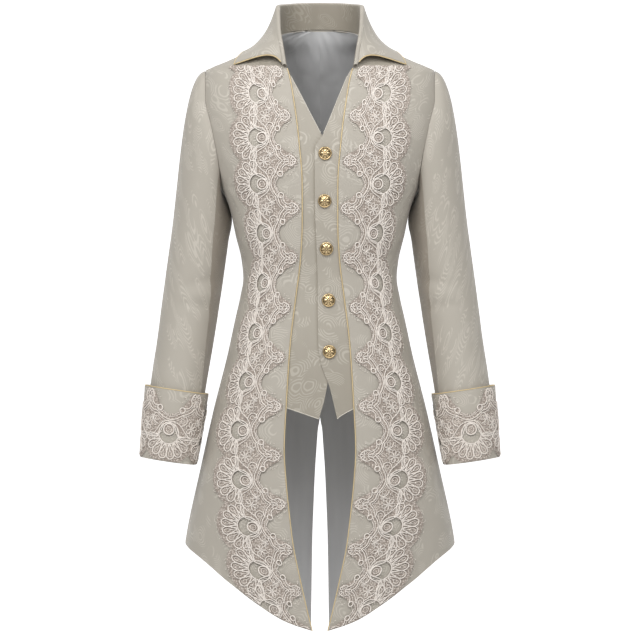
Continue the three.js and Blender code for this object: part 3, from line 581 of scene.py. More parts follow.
# Sleeves
sleeveFine = {"cap": 26, "rings": 54}
sleeveSeamGap = 0.4
overFront = np.concatenate([np.linspace(-212, -90, 18), np.linspace(-84, shoulderZ, 12)])
overBack = np.linspace(-47, -182, 20)
underLoop = [(-192, 1), (-202, 1), (-212, 1), (-220, 1), (-227, 1), (-233, 1), (underarmZ, 1), (-233, -1),
             (-227, -1), (-220, -1)]
loopZ = np.concatenate([overFront, overBack, [z for z, _ in underLoop]])
loopFacing = np.concatenate([-np.ones(len(overFront)), np.ones(len(overBack)), [f for _, f in underLoop]])
loop = np.array([
    bodyPoint(z, armholeAngle(z, f), int(f), creased=False)[0] for z, f in zip(loopZ, loopFacing)
])
tip = len(overFront) - 1
overCount = len(overFront) + len(overBack)


def shares(points):
    walked = np.concatenate([[0], np.cumsum(np.linalg.norm(np.diff(points, axis=0), axis=1))])
    return walked / walked[-1]


frontShares = shares(loop[: tip + 1])
backShares = shares(loop[tip:overCount])
underShares = shares(np.concatenate([loop[overCount - 1:], loop[:1]]))


def armRing(centre, down, half, deep, seamShare):
    outward = -np.cross(down, (0, 1, 0))
    outward /= np.linalg.norm(outward)
    forward = np.cross(outward, down)
    forward /= np.linalg.norm(forward)
    if forward[1] > 0:
        forward = -forward
    frontTurn = math.acos(1 - 2 * seamShare)
    turn = np.concatenate([frontTurn * (1 - frontShares), -1.75 * backShares[1:]])
    p, q = half * np.cos(turn), deep * np.sin(turn)
    s = underShares[1:-1]
    chord = p[-1] + (p[0] - p[-1]) * s
    bulge = (1 - np.abs(2 * s - 1) ** 1.4) ** (1 / 1.4)
    p = np.concatenate([p, chord + (-half - chord) * bulge])
    q = np.concatenate([q, q[-1] + (q[0] - q[-1]) * s])
    return centre + p[:, None] * outward + q[:, None] * forward


def armCentre(z):
    return np.array([readTable(armSections, "x", z), readTable(armSections, "y", z), z], float)


def armFrame(z):
    down = armCentre(max(z - 6, armEndZ)) - armCentre(min(z + 6, armStartZ))
    return armCentre(z), down / np.linalg.norm(down)


armRings = []
for z in np.linspace(armStartZ, armEndZ, sleeveFine["rings"]):
    centre, down = armFrame(z)
    sizes = [float(readTable(armSections, column, z)) for column in ("half", "deep", "seam")]
    armRings.append(armRing(centre, down, *sizes))
armDown = armFrame(armStartZ)[1]
low = (shoulderZ - loop[:, 2]) / (shoulderZ - underarmZ)
away = np.stack([-1 + 1.1 * low**4, loop[:, 1] * 0.004, -0.1 - 1.5 * low**2], axis=1)
away /= np.linalg.norm(away, axis=1, keepdims=True)
length = np.linalg.norm(armRings[0] - loop, axis=1)[:, None]
capRows = []
for t in (np.linspace(0, 1, sleeveFine["cap"] + 1)[:-1]) ** 1.25:
    capRows.append(
        loop * (2 * t**3 - 3 * t**2 + 1) + armRings[0] * (3 * t**2 - 2 * t**3)
        + away * length * (0.4 + 0.25 * low[:, None]) * (t**3 - 2 * t**2 + t)
        + armDown * length * 1.05 * (t**3 - t**2)
    )
    # behind the side of the body the underarm hangs nearer to it
    near = 8 * smooth(t, 0.1, 0.45) * (1 - smooth(t, 0.6, 1))
    capRows[-1][overCount:, 0] += near * np.exp(-(((underShares[1:-1] - 0.38) / 0.24) ** 2))
sleevePoints = np.array(capRows + armRings)
sleevePoints[..., 0] -= sleeveSeamGap

sleeveCreases = [
    {"z": -395, "angle": 2.0, "long": 8, "wide": 0.8, "lean": 14, "rise": -2.0},
    {"z": -418, "angle": 2.1, "long": 9, "wide": 0.7, "lean": 10, "rise": 1.2},
    {"z": -438, "angle": 1.9, "long": 8, "wide": 0.9, "lean": -8, "rise": -1.8},
    {"z": -170, "angle": 1.2, "long": 34, "wide": 0.35, "lean": 30, "rise": -1.6},
    {"z": -230, "angle": 1.7, "long": 40, "wide": 0.35, "lean": 36, "rise": -1.4},
    {"z": -540, "angle": 1.5, "long": 40, "wide": 0.3, "lean": 20, "rise": -1.0},
    {"z": -420, "angle": -1.6, "long": 12, "wide": 0.9, "lean": 10, "rise": -1.4},
    {"z": -520, "angle": -1.2, "long": 60, "wide": 0.35, "lean": 20, "rise": -1.2},
]
middle = np.array([[readTable(armSections, "x", z), readTable(armSections, "y", z)] for z in
                   np.clip(sleevePoints[..., 2].mean(axis=1), armEndZ, armStartZ)])
spin = np.arctan2(-(sleevePoints[..., 1] - middle[:, None, 1]), -(sleevePoints[..., 0] - middle[:, None, 0]))
push = np.zeros(sleevePoints.shape[:2])
for crease in sleeveCreases:
    around = (spin - crease["angle"]) / crease["wide"]
    along = (sleevePoints[..., 2] - crease["z"] - crease["lean"] * (spin - crease["angle"])) / crease["long"]
    push += crease["rise"] * np.exp(-around**2 - along**2)
push *= np.clip((-60 - sleevePoints[..., 2]) / 60, 0, 1)
sleevePoints = sleevePoints - gridNormals(sleevePoints, True) * push[..., None]

for side, mirror in sides:
    over = clothMesh(f"{side}SleeveUpper", sleevePoints[:, :overCount], coatMaterial, "coat_cloth",
                     f"sleeve_upper_{side}", coatThick, mirror)
    underPoints = np.concatenate([sleevePoints[:, overCount - 1:], sleevePoints[:, :1]], axis=1)
    under = clothMesh(f"{side}SleeveUnder", underPoints, underShadeMaterial, "coat_cloth", f"sleeve_under_{side}",
                      coatThick, mirror)
print("sleeves done")


# Cuffs
cuffTop = {"centre": np.array([-242.9, -16, -581.0]), "half": 55, "deep": 55}
cuffEnd = {"centre": np.array([-256.4, -38, -700.0]), "half": 48, "deep": 47.5}
cuffDown = np.array([-0.1454, 0, -0.9894])
cuffSeam = 0.96
cuffHeight = 121.0


def cuffRing(share, lift=0.0):
    centre, half, deep = (cuffTop[k] + (cuffEnd[k] - cuffTop[k]) * share for k in ("centre", "half", "deep"))
    return armRing(centre, cuffDown, half + lift, deep + lift, cuffSeam)


cuffPoints = np.array([cuffRing(s) for s in np.linspace(0, 1, 26)])
for side, mirror in sides:
    cuff = clothMesh(f"{side}Cuff", cuffPoints, coatMaterial, "coat_cloth", f"cuff_{side}", coatThick, mirror,
                     wrap=True)


# Collar: a stand, a roll and a fall in one, section by section from the front end to the middle of the back.
collarLook = {"thick": 1.6, "roll": 2.6, "gap": 3.2, "leafCount": 30, "sections": 60, "standShade": 1.0}


def neckPoint(turn):
    if turn < 0.5:
        z = -37 + (neckSideZ + 37) * math.sin(turn * math.pi)
        return bodyPoint(z, frontAngle(z), -1, 1.5 - 2 * turn, creased=False)[0]
    angle = (turn - 0.5) * math.pi
    return bodyPoint(neckSideZ + neckRange * math.sin(angle) ** neckCurve, angle, 1, 0.5, creased=False)[0]


def collarSection(turn, count):
    shape = {column: float(readTable(collarShape, column, turn, "turn")) for column in collarShape[0]}
    radius = collarLook["roll"]
    roll = np.array([shape["rollX"], shape["rollY"], shape["rollZ"]])
    edgeZ = heightAt(shape["edgeX"], shape["edgeY"]) + collarLook["gap"]
    edge = np.array([shape["edgeX"], shape["edgeY"], edgeZ])
    out = np.array([edge[0] - roll[0], edge[1] - roll[1], 0])
    out /= np.linalg.norm(out)
    down = np.array([0, 0, -radius])
    start = neckPoint(turn)
    standTop = roll - radius * out + down
    fall = roll + radius * out + down
    chord = edge - fall
    near = fall + chord * (0.15, 0.15, 0.33) + (0, 0, shape["in"])
    far = fall + chord * (0.4, 0.4, 0.8) + (0, 0, shape["out"])
    stand = [start + (standTop - start) * t for t in np.linspace(0, 1, count // 3)]
    bend = []
    for t in np.linspace(0, math.pi, 9)[1:-1]:
        bend.append(roll + down - out * radius * math.cos(t) + np.array([0, 0, radius * math.sin(t)]))
    leaf = [
        fall * (1 - w) ** 3 + near * 3 * w * (1 - w) ** 2 + far * 3 * w**2 * (1 - w) + edge * w**3
        for w in np.linspace(0, 1, count)
    ]
    return np.array(stand + bend + leaf)


leafCount = collarLook["leafCount"]
halfCollar = np.array([collarSection(t, leafCount) for t in np.linspace(0, 1, collarLook["sections"])])
flipped = halfCollar[:-1][::-1] * (-1, 1, 1)
collarPoints = np.concatenate([halfCollar, flipped])
# painted shade on the inside of the collar's stand
standShade = np.zeros(collarPoints.shape[:2])
standShade[:, : leafCount // 3 + 1] = collarLook["standShade"]
collar = clothMesh("turnDownCollar", collarPoints, coatMaterial, "coat_cloth", "collar", collarLook["thick"],
                   shade=standShade)
print("cuffs and collar done")


# Waistcoat
vest = {"gap": 0.9, "thick": 1.2, "hidden": 38, "lapDrop": 1.6, "lapShade": 0.75, "lowShade": 0.5}


def vestSurface(edge, drop, hemRise, steep):
    level = np.linspace(-40, -627, 110)[:, None]
    along = np.linspace(0, 1, 26)[None, :]
    z = level + smooth(-level, 430, 627) * hemRise * (1 - along) ** steep
    hidden = readTable(frontEdge, "x", z) + np.minimum(vest["hidden"], -30 - z)
    free = -readTable(edge, "x", level) * np.ones_like(along)
    x = hidden + (free - hidden) * along
    sink = drop * (1 - smooth(x, 12, 34))
    return bodyPoint(z, angleAt(z, x), -1, -coatThick - vest["gap"] - sink, creased=False)[0]


leftVestPoints = vestSurface(underVestEdge, vest["lapDrop"], 32, 1)
rightVestPoints = vestSurface(overVestEdge, 0, 34, 0.8)
# painted shadow: the upper half's narrow shadow on the lower one is painted into its colour, and painted
# shade darkens both towards the hem
lapX = -readTable(overVestEdge, "x", leftVestPoints[..., 2])
lowShade = vest["lowShade"] * smooth(-leftVestPoints[..., 2], 420, 600)
lapShade = np.maximum(vest["lapShade"] * np.exp(-(((leftVestPoints[..., 0] - lapX) / 3.5) ** 2)), lowShade)
vestLeft = clothMesh("leftVest", leftVestPoints, vestMaterial, "vest_cloth", "vest_left", vest["thick"],
                     turned=True, shade=lapShade)
vestRight = clothMesh("rightVest", rightVestPoints, vestMaterial, "vest_cloth", "vest_right", vest["thick"],
                      mirror=True, turned=True, shade=lowShade)


# Points of a cord's skin, ring by ring along its path.
def tubePoints(path, normals, radius, flat=1.0, sides=4, closed=False):
    path = np.asarray(path, float)
    if closed:
        tangent = np.roll(path, -1, axis=0) - np.roll(path, 1, axis=0)
    else:
        tangent = np.gradient(path, axis=0)
    tangent /= np.maximum(np.linalg.norm(tangent, axis=1, keepdims=True), 1e-9)
    side = np.cross(tangent, normals)
    side /= np.maximum(np.linalg.norm(side, axis=1, keepdims=True), 1e-9)
    up = np.cross(side, tangent)
    turn = (np.arange(sides) + 0.5) * 2 * math.pi / sides
    size = np.broadcast_to(np.asarray(radius, float), (len(path),))[:, None, None]
    across = np.cos(turn)[None, :, None] * side[:, None]
    upward = np.sin(turn)[None, :, None] * up[:, None] * flat
    points = path[:, None] + (across + upward) * size
    if closed:
        points = np.concatenate([points, points[:1]])
    return np.concatenate([points, points[:, :1]], axis=1)


# All tubes of a piece are rows of one grid; the faces between one tube and the next are taken out.
def cordObject(name, tubes, material, slotName, nodes=(), mirror=False):
    points = np.concatenate(tubes)
    rows, columns = points.shape[:2]
    lastRows = set(int(k) for k in np.cumsum([len(tube) for tube in tubes]) - 1)
    bm = bmesh.new()
    bmesh.ops.create_grid(bm, x_segments=columns - 1, y_segments=rows - 1, size=1)
    rowOf = {}
    for v in bm.verts:
        i, j = gridSpot(v, rows, columns)
        v.co = inMetres(points[i, j], mirror)
        rowOf[v] = i
    joins = []
    for face in bm.faces:
        low = min(rowOf[v] for v in face.verts)
        if low in lastRows:
            joins.append(face)
    bmesh.ops.delete(bm, geom=joins, context="FACES_ONLY")
    bmesh.ops.remove_doubles(bm, verts=bm.verts[:], dist=2e-6)
    bmesh.ops.recalc_face_normals(bm, faces=bm.faces[:])
    for face in bm.faces:
        face.smooth = True
    return makePiece(bm, name, material, slotName, *nodes)


piping = {"radius": 0.9, "gap": 0.3, "raise": 0.8, "sides": 8}
edgeWay = frontPoints[:, -1] - frontPoints[:, -2]
edgeWay /= np.linalg.norm(edgeWay, axis=1, keepdims=True)
edgeNormal = gridNormals(frontPoints)[:, -1]
fromShoulder = int(np.argmax(frontZ[:, -1] < -37))
beside = piping["radius"] + piping["gap"]
frontPath = (frontPoints[:, -1] + edgeWay * beside - edgeNormal * coatThick / 2)[fromShoulder:]
frontTube = tubePoints(frontPath, edgeNormal[fromShoulder:], piping["radius"], sides=piping["sides"])
cuffRimPath = (cuffRing(0) + cuffRing(0, -coatThick)) / 2 - cuffDown * beside
cuffTube = tubePoints(cuffRimPath, np.tile(cuffDown, (len(cuffRimPath), 1)), piping["radius"],
                      sides=piping["sides"], closed=True)
for side, mirror in sides:
    cordObject(f"{side}FrontPiping", [frontTube], pipingMaterial, "piping", [f"piping_front_{side}"], mirror)
    cordObject(f"{side}CuffPiping", [cuffTube], pipingMaterial, "piping", [f"piping_cuff_{side}"], mirror)

collarNormal = gridNormals(collarPoints)
startRow = collarPoints.shape[1] - leafCount + 3
lastRow, lastColumn = collarPoints.shape[0] - 1, collarPoints.shape[1] - 1
collarPath, collarUp = [], []


# Direction from one point of the collar to another.
def collarWay(start, end):
    way = collarPoints[end] - collarPoints[start]
    return way / np.linalg.norm(way)


def addCollarPoint(spot, aside):
    collarPath.append(collarPoints[spot] + aside + collarNormal[spot] * piping["raise"])
    collarUp.append(collarNormal[spot])


# up one front end of the fall, along its edge and down the other end
for j in range(startRow, lastColumn):
    addCollarPoint((0, j), collarWay((1, j), (0, j)) * (beside + 0.2))
for i in range(0, lastRow + 1):
    aside = collarWay((i, lastColumn - 1), (i, lastColumn)) * beside
    if i in (0, lastRow):
        aside = aside + collarWay((1 if i == 0 else i - 1, lastColumn), (i, lastColumn)) * beside
    addCollarPoint((i, lastColumn), aside)
for j in range(lastColumn - 1, startRow - 1, -1):
    addCollarPoint((lastRow, j), collarWay((lastRow - 1, j), (lastRow, j)) * (beside + 0.2))
collarTube = tubePoints(collarPath, np.array(collarUp), piping["radius"], sides=piping["sides"])
cordObject("collarPiping", [collarTube], pipingMaterial, "piping", ["piping_collar"])


# Narrow turned edges of the waistcoat, along its neckline and its hem.
# the cords are lighter than the waistcoat's cloth: a painted highlight along its turned edges
vestEdgeLook = {"colour": (0.6, 0.565, 0.49), "radius": 0.75, "flat": 0.6, "raise": 0.15, "neckEndZ": -152}
edgeMaterial = plainMaterial("vestEdgeCord", vestEdgeLook["colour"], 0.6, sheen=0.1, grain=900)


def vestEdge(points, mirror, name):
    normal = gridNormals(points)
    lastNeck = int(np.argmax(points[:, -1, 2] < vestEdgeLook["neckEndZ"]))
    tubes = []
    for edge, out in ((points[2:lastNeck, -1], normal[2:lastNeck, -1]), (points[-1], normal[-1])):
        raised = edge + out * vestEdgeLook["raise"]
        tubes.append(tubePoints(raised, out, vestEdgeLook["radius"], vestEdgeLook["flat"], sides=6))
    cordObject(name, tubes, edgeMaterial, "vest_cloth", mirror=mirror)


vestEdge(leftVestPoints, False, "leftVestEdge")
vestEdge(rightVestPoints, True, "rightVestEdge")
print("piping done")


# Buttons
buttonLook = {"petals": 8, "beads": 24, "beadRadius": 0.62, "lobeRise": 0.38}
buttonPlaces = [
    {"x": 8.6, "z": -183}, {"x": 7.9, "z": -263}, {"x": 10.8, "z": -343}, {"x": 14.3, "z": -429},
    {"x": 15.7, "z": -515},
]
buttonProfile = [
    (0, 0), (10.2, 0), (11.0, 0.3), (11.3, 0.9), (11.3, 1.5), (10.9, 2.1), (10.2, 2.4), (9.5, 2.3),
    (8.9, 1.9), (8.4, 2.1), (7.2, 3.0), (5.6, 3.8), (3.6, 4.5), (2.4, 4.7), (1.9, 4.4), (1.4, 4.7), (0, 5.1),
]


def buttonMesh(name, place, node, lift):
    at, normal = bodyPoint(place["z"], angleAt(place["z"], place["x"]), -1, lift, creased=False)
    centre = inMetres(at, True)
    turn = Vector((0, 0, 1)).rotation_difference(inMetres(normal, True))
    bm = bmesh.new()
    verts = [bm.verts.new((r, 0, h)) for r, h in buttonProfile]
    edges = [bm.edges.new(pair) for pair in zip(verts, verts[1:])]
    bmesh.ops.spin(bm, geom=verts + edges, cent=(0, 0, 0), axis=(0, 0, 1), angle=2 * math.pi, steps=64)
    bmesh.ops.remove_doubles(bm, verts=bm.verts[:], dist=1e-3)
    # rosette of lobes on the dome, raised in the same surface, with painted shade between them
    grooveLayer = bm.verts.layers.float.new("groove")
    for v in bm.verts:
        r = math.hypot(v.co.x, v.co.y)
        lobe = math.cos(buttonLook["petals"] * math.atan2(v.co.y, v.co.x))
        between = max(0, -lobe) if 2.6 < r < 8.4 else 0
        rings = math.exp(-(((r - 8.9) / 0.6) ** 2)) + 0.8 * math.exp(-(((r - 1.9) / 0.4) ** 2))
        v[grooveLayer] = min(1, between * 0.85 + rings + (0.8 if r > 11.1 else 0))
        if 2.6 < r < 8.2 and v.co.z > 1:
            v.co.z += buttonLook["lobeRise"] * lobe * math.sin((r - 2.6) / 5.6 * math.pi)
    for k in range(buttonLook["beads"]):
        a = 2 * math.pi * k / buttonLook["beads"]
        made = bmesh.ops.create_icosphere(bm, subdivisions=1, radius=buttonLook["beadRadius"])["verts"]
        bmesh.ops.translate(bm, verts=made, vec=(10.1 * math.cos(a), 10.1 * math.sin(a), 2.45))
    bmesh.ops.recalc_face_normals(bm, faces=bm.faces[:])
    for v in bm.verts:
        v.co = centre + (turn @ v.co) * mm
    for face in bm.faces:
        face.smooth = True
    makePiece(bm, name, buttonMaterial, "button_metal", node)


# the uppermost button sits a little deeper than the others
for k, place in enumerate(buttonPlaces):
    lift = 0.5 if k == 0 else 0.9
    buttonMesh(f"button{k + 1}", place, f"button_{k + 1}", lift - coatThick - vest["gap"])
print("buttons done")


# Lace
# A motif is drawn round its ring: the first number runs towards the front edge, the second down the strip.
# The columns place a motif by its distance along the cloth from the front edge: its ring, the tips of its
# petals and the tip of the lobe beside it.
laceMotifs = [
    {"z": -82.5, "eye": 49.5, "reach": 99.7, "lobe": 11},
    {"z": -156.7, "eye": 60.7, "reach": 112, "lobe": 10},
    {"z": -234.1, "eye": 67.4, "reach": 115.6, "lobe": 7},
    {"z": -316.6, "eye": 60.5, "reach": 101, "lobe": 6},
    {"z": -399.9, "eye": 57.4, "reach": 94, "lobe": 7.5},
    {"z": -484.2, "eye": 60.1, "reach": 100, "lobe": 8.6},
    {"z": -566.1, "eye": 68.7, "reach": 112, "lobe": 10},
    {"z": -647.3, "eye": 74.6, "reach": 125.4, "lobe": 8},
    {"z": -730.3, "eye": 69.7, "reach": 126.3, "lobe": 6.5},
    {"z": -808.1, "eye": 62.5, "reach": 122.3, "lobe": 4},
    {"z": -881.0, "eye": 55.9, "reach": 112, "lobe": 2.5},
    {"z": -945.2, "eye": 53.3, "reach": 104, "lobe": 2.5},
]
laceLook = {
    "cord": 1.05, "fine": 0.62, "dot": 0.85, "lift": 2.1, "step": 2.0, "petalTip": -50.0, "lobeTip": 56.0,
    "shellX": -7.0, "shellY": -0.5, "shell": 16.8, "petals": (-76, -54, -32.5, -11, 10.5, 32, 53.5, 75),
}
waveOuter = [
    (0, 10.7), (0.08, 9.3), (0.13, 3.9), (0.16, -2.9), (0.205, -10.2), (0.29, -14.1), (0.39, -15.0),
    (0.5, -13.4), (0.61, -14.6), (0.71, -13.6), (0.79, -10.2), (0.84, -2.9), (0.88, 3.9), (0.93, 9.3),
    (1, 10.7),
]
waveBand = [
    (0, 12.4), (0.1, 12.0), (0.17, 8.0), (0.235, 0.4), (0.3, -7.6), (0.38, -11), (0.5, -10.4), (0.6, -7),
    (0.69, 0.4), (0.76, 6.6), (0.84, 10.4), (0.92, 12), (1, 12.4),
]
waveInner = [
    (0, 14.8), (0.09, 16.6), (0.18, 20), (0.27, 24.9), (0.36, 26.2), (0.43, 29), (0.5, 34.5), (0.58, 29.2),
    (0.66, 25.6), (0.76, 22.6), (0.85, 18), (0.93, 15.6), (1, 14.8),
]


# Smooth path through points, with a point about every step.
def curveThrough(points, step):
    points = np.asarray(points, float)
    padded = np.concatenate([[2 * points[0] - points[1]], points, [2 * points[-1] - points[-2]]])
    path = []
    for a, b, c, d in zip(padded, padded[1:], padded[2:], padded[3:]):
        count = max(2, int(np.linalg.norm(c - b) / step + 0.5))
        for t in np.linspace(0, 1, count, endpoint=False):
            path.append(0.5 * (2 * b + (c - a) * t + (2 * a - 5 * b + 4 * c - d) * t**2
                               + (3 * b - a - 3 * c + d) * t**3))
    path.append(points[-1])
    return np.array(path)


def circlePath(x, y, radius, step):
    count = max(7, int(2 * math.pi * radius / step))
    turn = np.arange(count) * 2 * math.pi / count
    return np.stack([x + radius * np.cos(turn), y + radius * np.sin(turn)], axis=1)


def petalPath(x, y, angle, start, end, half, step):
    count = max(10, int(2.3 * (end - start) / step))
    turn = np.arange(count) * 2 * math.pi / count
    along = (start + end) / 2 - (end - start) / 2 * np.cos(turn)
    across = half * np.sin(turn) * (0.24 + 0.76 * (along - start) / (end - start)) * 1.36
    way = np.array([math.cos(angle), math.sin(angle)])
    return np.array([x, y]) + along[:, None] * way + across[:, None] * np.array([-way[1], way[0]])


def offsetPath(path, distance):
    way = np.gradient(path, axis=0)
    way /= np.linalg.norm(way, axis=1, keepdims=True)
    return path + np.stack([way[:, 1], -way[:, 0]], axis=1) * distance


# The cords of one repeat, each as a path, a radius and whether it closes.
def motifCords(pitch):
    cord, fine, step = laceLook["cord"], laceLook["fine"], laceLook["step"]
    shellX, shellY, shell = laceLook["shellX"], laceLook["shellY"], laceLook["shell"]
    middle = pitch / 2
    cords = [(circlePath(0, 0, 8.5, step), cord * 1.2, True), (circlePath(0, 0, 4.5, step), fine, True),
             (circlePath(shellX, shellY, shell, step), cord, True)]
    for degrees in laceLook["petals"]:
        angle = math.pi + math.radians(degrees)
        tip = 43 if abs(degrees) < 60 else 40.5
        cords.append((petalPath(shellX, shellY, angle, 18.0, tip, 6.6, step), cord, True))
        cords.append((petalPath(shellX, shellY, angle, 28.5, tip - 3.8, 2.9, step), fine, True))
        for turn in (-7.0, 0.0, 7.0):
            way = np.array([math.cos(angle + math.radians(turn)), math.sin(angle + math.radians(turn))])
            spoke = np.array([shellX, shellY]) + np.linspace(17.5, 27.5 if turn else 29, 4)[:, None] * way
            cords.append((spoke, fine * 1.15, False))
    outer = curveThrough([(x, phase * pitch) for phase, x in waveOuter], step)
    band = curveThrough([(x, phase * pitch) for phase, x in waveBand], step)
    inner = curveThrough([(x, phase * pitch) for phase, x in waveInner], step)
    cords.append((outer, cord, False))
    cords.append((band, cord * 0.9, False))
    cords.append((offsetPath(outer, 2.6), fine * 0.9, False))
    cords.append((inner, cord, False))
    cords.append((offsetPath(inner, -3.2), fine, False))
    cords.append((offsetPath(inner, 4.4), fine, False))
    # small flowers between two rings
    for x, y, reach, count in ((4.5, middle + 1.5, 9.2, 7), (14.5, middle - 10.5, 3.6, 5)):
        for k in range(count):
            turn = 2 * math.pi * k / count + 0.4
            cords.append((petalPath(x, y, turn, 1.6, reach + 1.6, reach * 0.32, step), fine * 1.15, True))
    for way in (-1, 1):
        fan = [(6.5, middle + way * 22), (9.5, middle + way * 14.5), (15.5, middle + way * 11.5),
               (21, middle + way * 14.5), (22, middle + way * 21)]
        cords.append((curveThrough(fan, step), cord * 0.9, False))
        cords.append((circlePath(14.5, middle + way * 19, 3.2, step), fine, True))
        cords.append((circlePath(30.2, middle + way * 22.2, 4.2, step), cord * 1.1, True))
        rim = [(34, middle + way * 19.5), (33.4, middle + way * 14), (36.5, middle + way * 9.5),
               (41, middle + way * 7), (45.5, middle + way * 9), (50, middle + way * 8.6),
               (55, middle + way * 4.5), (57.5, middle)]
        cords.append((curveThrough(rim, step), cord * 0.9, False))
        curl = [(27, middle + way * 27), (25, middle + way * 31), (22.8, middle + way * 34.5),
                (21.4, middle + way * 38)]
        cords.append((curveThrough(curl, step), fine, False))
    for degrees in (-96, -48, 0, 48, 96):
        cords.append((petalPath(50, middle, math.radians(degrees), 1.8, 7.6, 2.2, step), fine * 1.1, True))
    for degrees in (150, 180, 210):
        cords.append((petalPath(49, middle, math.radians(degrees), 3, 14, 2.2, step), fine, True))
    return cords


# Knots and picots of one repeat: x, y and radius.
def motifDots(pitch):
    shellX, shellY = laceLook["shellX"], laceLook["shellY"]
    middle, dot = pitch / 2, laceLook["dot"]
    dots = [(-1.5, 0, dot), (1.6, 0.3, dot)]
    for degrees in laceLook["petals"]:
        angle = math.pi + math.radians(degrees)
        dots.append((shellX + 29.5 * math.cos(angle), shellY + 29.5 * math.sin(angle), dot * 1.8))
    for k in range(7):
        angle = math.pi + math.radians(-66 + 22 * k)
        dots.append((12.6 * math.cos(angle), 12.6 * math.sin(angle), dot * 0.9))
    for k in range(26):
        angle, reach = random.uniform(0, 2 * math.pi), 15 * math.sqrt(random.random())
        if math.hypot(shellX + reach * math.cos(angle), reach * math.sin(angle)) > 10.5:
            dots.append((shellX + reach * math.cos(angle), shellY + reach * math.sin(angle), dot * 0.55))
    for k in range(96):
        angle = math.pi + math.radians(random.uniform(-100, 100))
        reach = random.uniform(43, 54)
        size = dot * random.uniform(0.6, 1)
        dots.append((shellX + reach * math.cos(angle), shellY + reach * math.sin(angle), size))
    for k in range(-6, 7):
        dots.append((22.5 + abs(k) * 0.3, k * 2.9, dot * random.uniform(0.7, 1.1)))
    for k in range(34):
        across = random.uniform(-1, 1)
        reach = random.uniform(17, 23) + 7 * abs(across) ** 2
        dots.append((39 + reach * math.cos(across * 1.5), middle + reach * math.sin(across * 1.5) * 0.86,
                     dot * random.uniform(0.6, 1)))
    for x, y in ((4.5, 1.5), (14.5, -10.5), (18.5, 1), (4, -16)):
        dots.append((x, middle + y, dot * 1.7))
    for k in range(26):
        angle = 2 * math.pi * k / 26
        size = dot * random.uniform(0.7, 1.15)
        dots.append((5.5 + 13.6 * math.cos(angle), middle + 14.5 * math.sin(angle), size))
    for k in range(10):
        x, y = random.uniform(-6, 24), random.uniform(-19, 19)
        dots.append((x, middle + y, dot * random.uniform(0.6, 1.1)))
    for k in range(16):
        dots.append((random.uniform(31, 46), middle + random.uniform(-9, 9), dot * random.uniform(0.7, 1.1)))
    return dots


# A dot is a short cord that narrows to nothing at both ends.
def dotTube(surface, first, second, radius, lift):
    along = np.array([-1, -0.45, 0.45, 1]) * radius + first
    points, normals = surface(along, np.full(4, float(second)), lift)
    return tubePoints(points, normals, np.array([0, 0.9, 0.9, 0]) * radius, 0.8)


def placeOnStrip(x, z):
    eye, reach, lobe = (readTable(laceMotifs, column, z) for column in ("eye", "reach", "lobe"))
    away = eye + (reach - eye) * x / laceLook["petalTip"]
    near = eye + (lobe - eye) * x / laceLook["lobeTip"]
    return np.where(x < 0, away, near)


# Distance along the cloth from the front edge, tabled by height.
stripZ = np.arange(-30.0, -985.0, -3.0)
edgeAngle = frontAngle(stripZ)
fan = np.linspace(0, 1, 140)
sweep = edgeAngle[:, None] * (1 - fan[None, :])
sweepPoints, _ = bodyPoint(stripZ[:, None] + 0 * sweep, sweep, -1, laceLook["lift"])
sweepLength = lengths(sweepPoints, 1)
hemAlong = readTable(hem, "along", stripZ, "front")
hemDistance = np.array([
    np.interp(edgeAngle[i] * (1 - hemAlong[i]), edgeAngle[i] * fan, sweepLength[i]) if z < -838 else 400.0
    for i, z in enumerate(stripZ)
])


# Points of the front at a distance along the cloth from its edge, and the directions out of it.
def onFront(distance, z, lift):
    distance, z = np.broadcast_arrays(np.asarray(distance, float), np.asarray(z, float))
    row = np.clip((stripZ[0] - z) / 3.0, 0, len(stripZ) - 1.001)
    i = row.astype(int)
    part = row - i
    angle = np.empty(distance.shape)
    for index in np.ndindex(distance.shape):
        a = np.interp(distance[index], sweepLength[i[index]], sweep[i[index]])
        b = np.interp(distance[index], sweepLength[i[index] + 1], sweep[i[index] + 1])
        angle[index] = a + (b - a) * part[index]
    return bodyPoint(z, angle, -1, lift)


def frontHem(z):
    return np.interp(-z, -stripZ, hemDistance)


# Index runs of a path that lie on the cloth.
def keepRuns(keep, closed):
    if keep.all():
        return [(np.arange(len(keep)), closed)]
    order = np.arange(len(keep))
    if closed:
        order = np.roll(order, -int(np.argmin(keep)))
    runs, run = [], []
    for k in order:
        if keep[k]:
            run.append(k)
        elif run:
            runs.append((np.array(run), False))
            run = []
    if run:
        runs.append((np.array(run), False))
    return [r for r in runs if len(r[0]) > 2]


motifZ = [laceMotifs[0]["z"] + 74.5] + [m["z"] for m in laceMotifs]


def frontLaceTubes():
    tubes = []
    for centreZ, nextZ in zip(motifZ, motifZ[1:] + [motifZ[-1] - 72.0]):
        pitch = centreZ - nextZ
        for path, radius, closed in motifCords(pitch):
            z = centreZ - path[:, 1]
            distance = placeOnStrip(path[:, 0], z)
            keep = (z < -35) & (distance < frontHem(z) - 3) & (distance > 1.8) & (z > -978)
            for run, ring in keepRuns(keep, closed):
                points, normals = onFront(distance[run], z[run], laceLook["lift"] + radius * 0.5)
                tubes.append(tubePoints(points, normals, radius, 0.75, closed=ring))
        for x, y, radius in motifDots(pitch):
            z = centreZ - y
            distance = float(placeOnStrip(x, z))
            if -977 < z < -37 and 2 < distance < float(frontHem(z)) - 3:
                tubes.append(dotTube(onFront, distance, z, radius, laceLook["lift"] + 0.4))
    return tubes


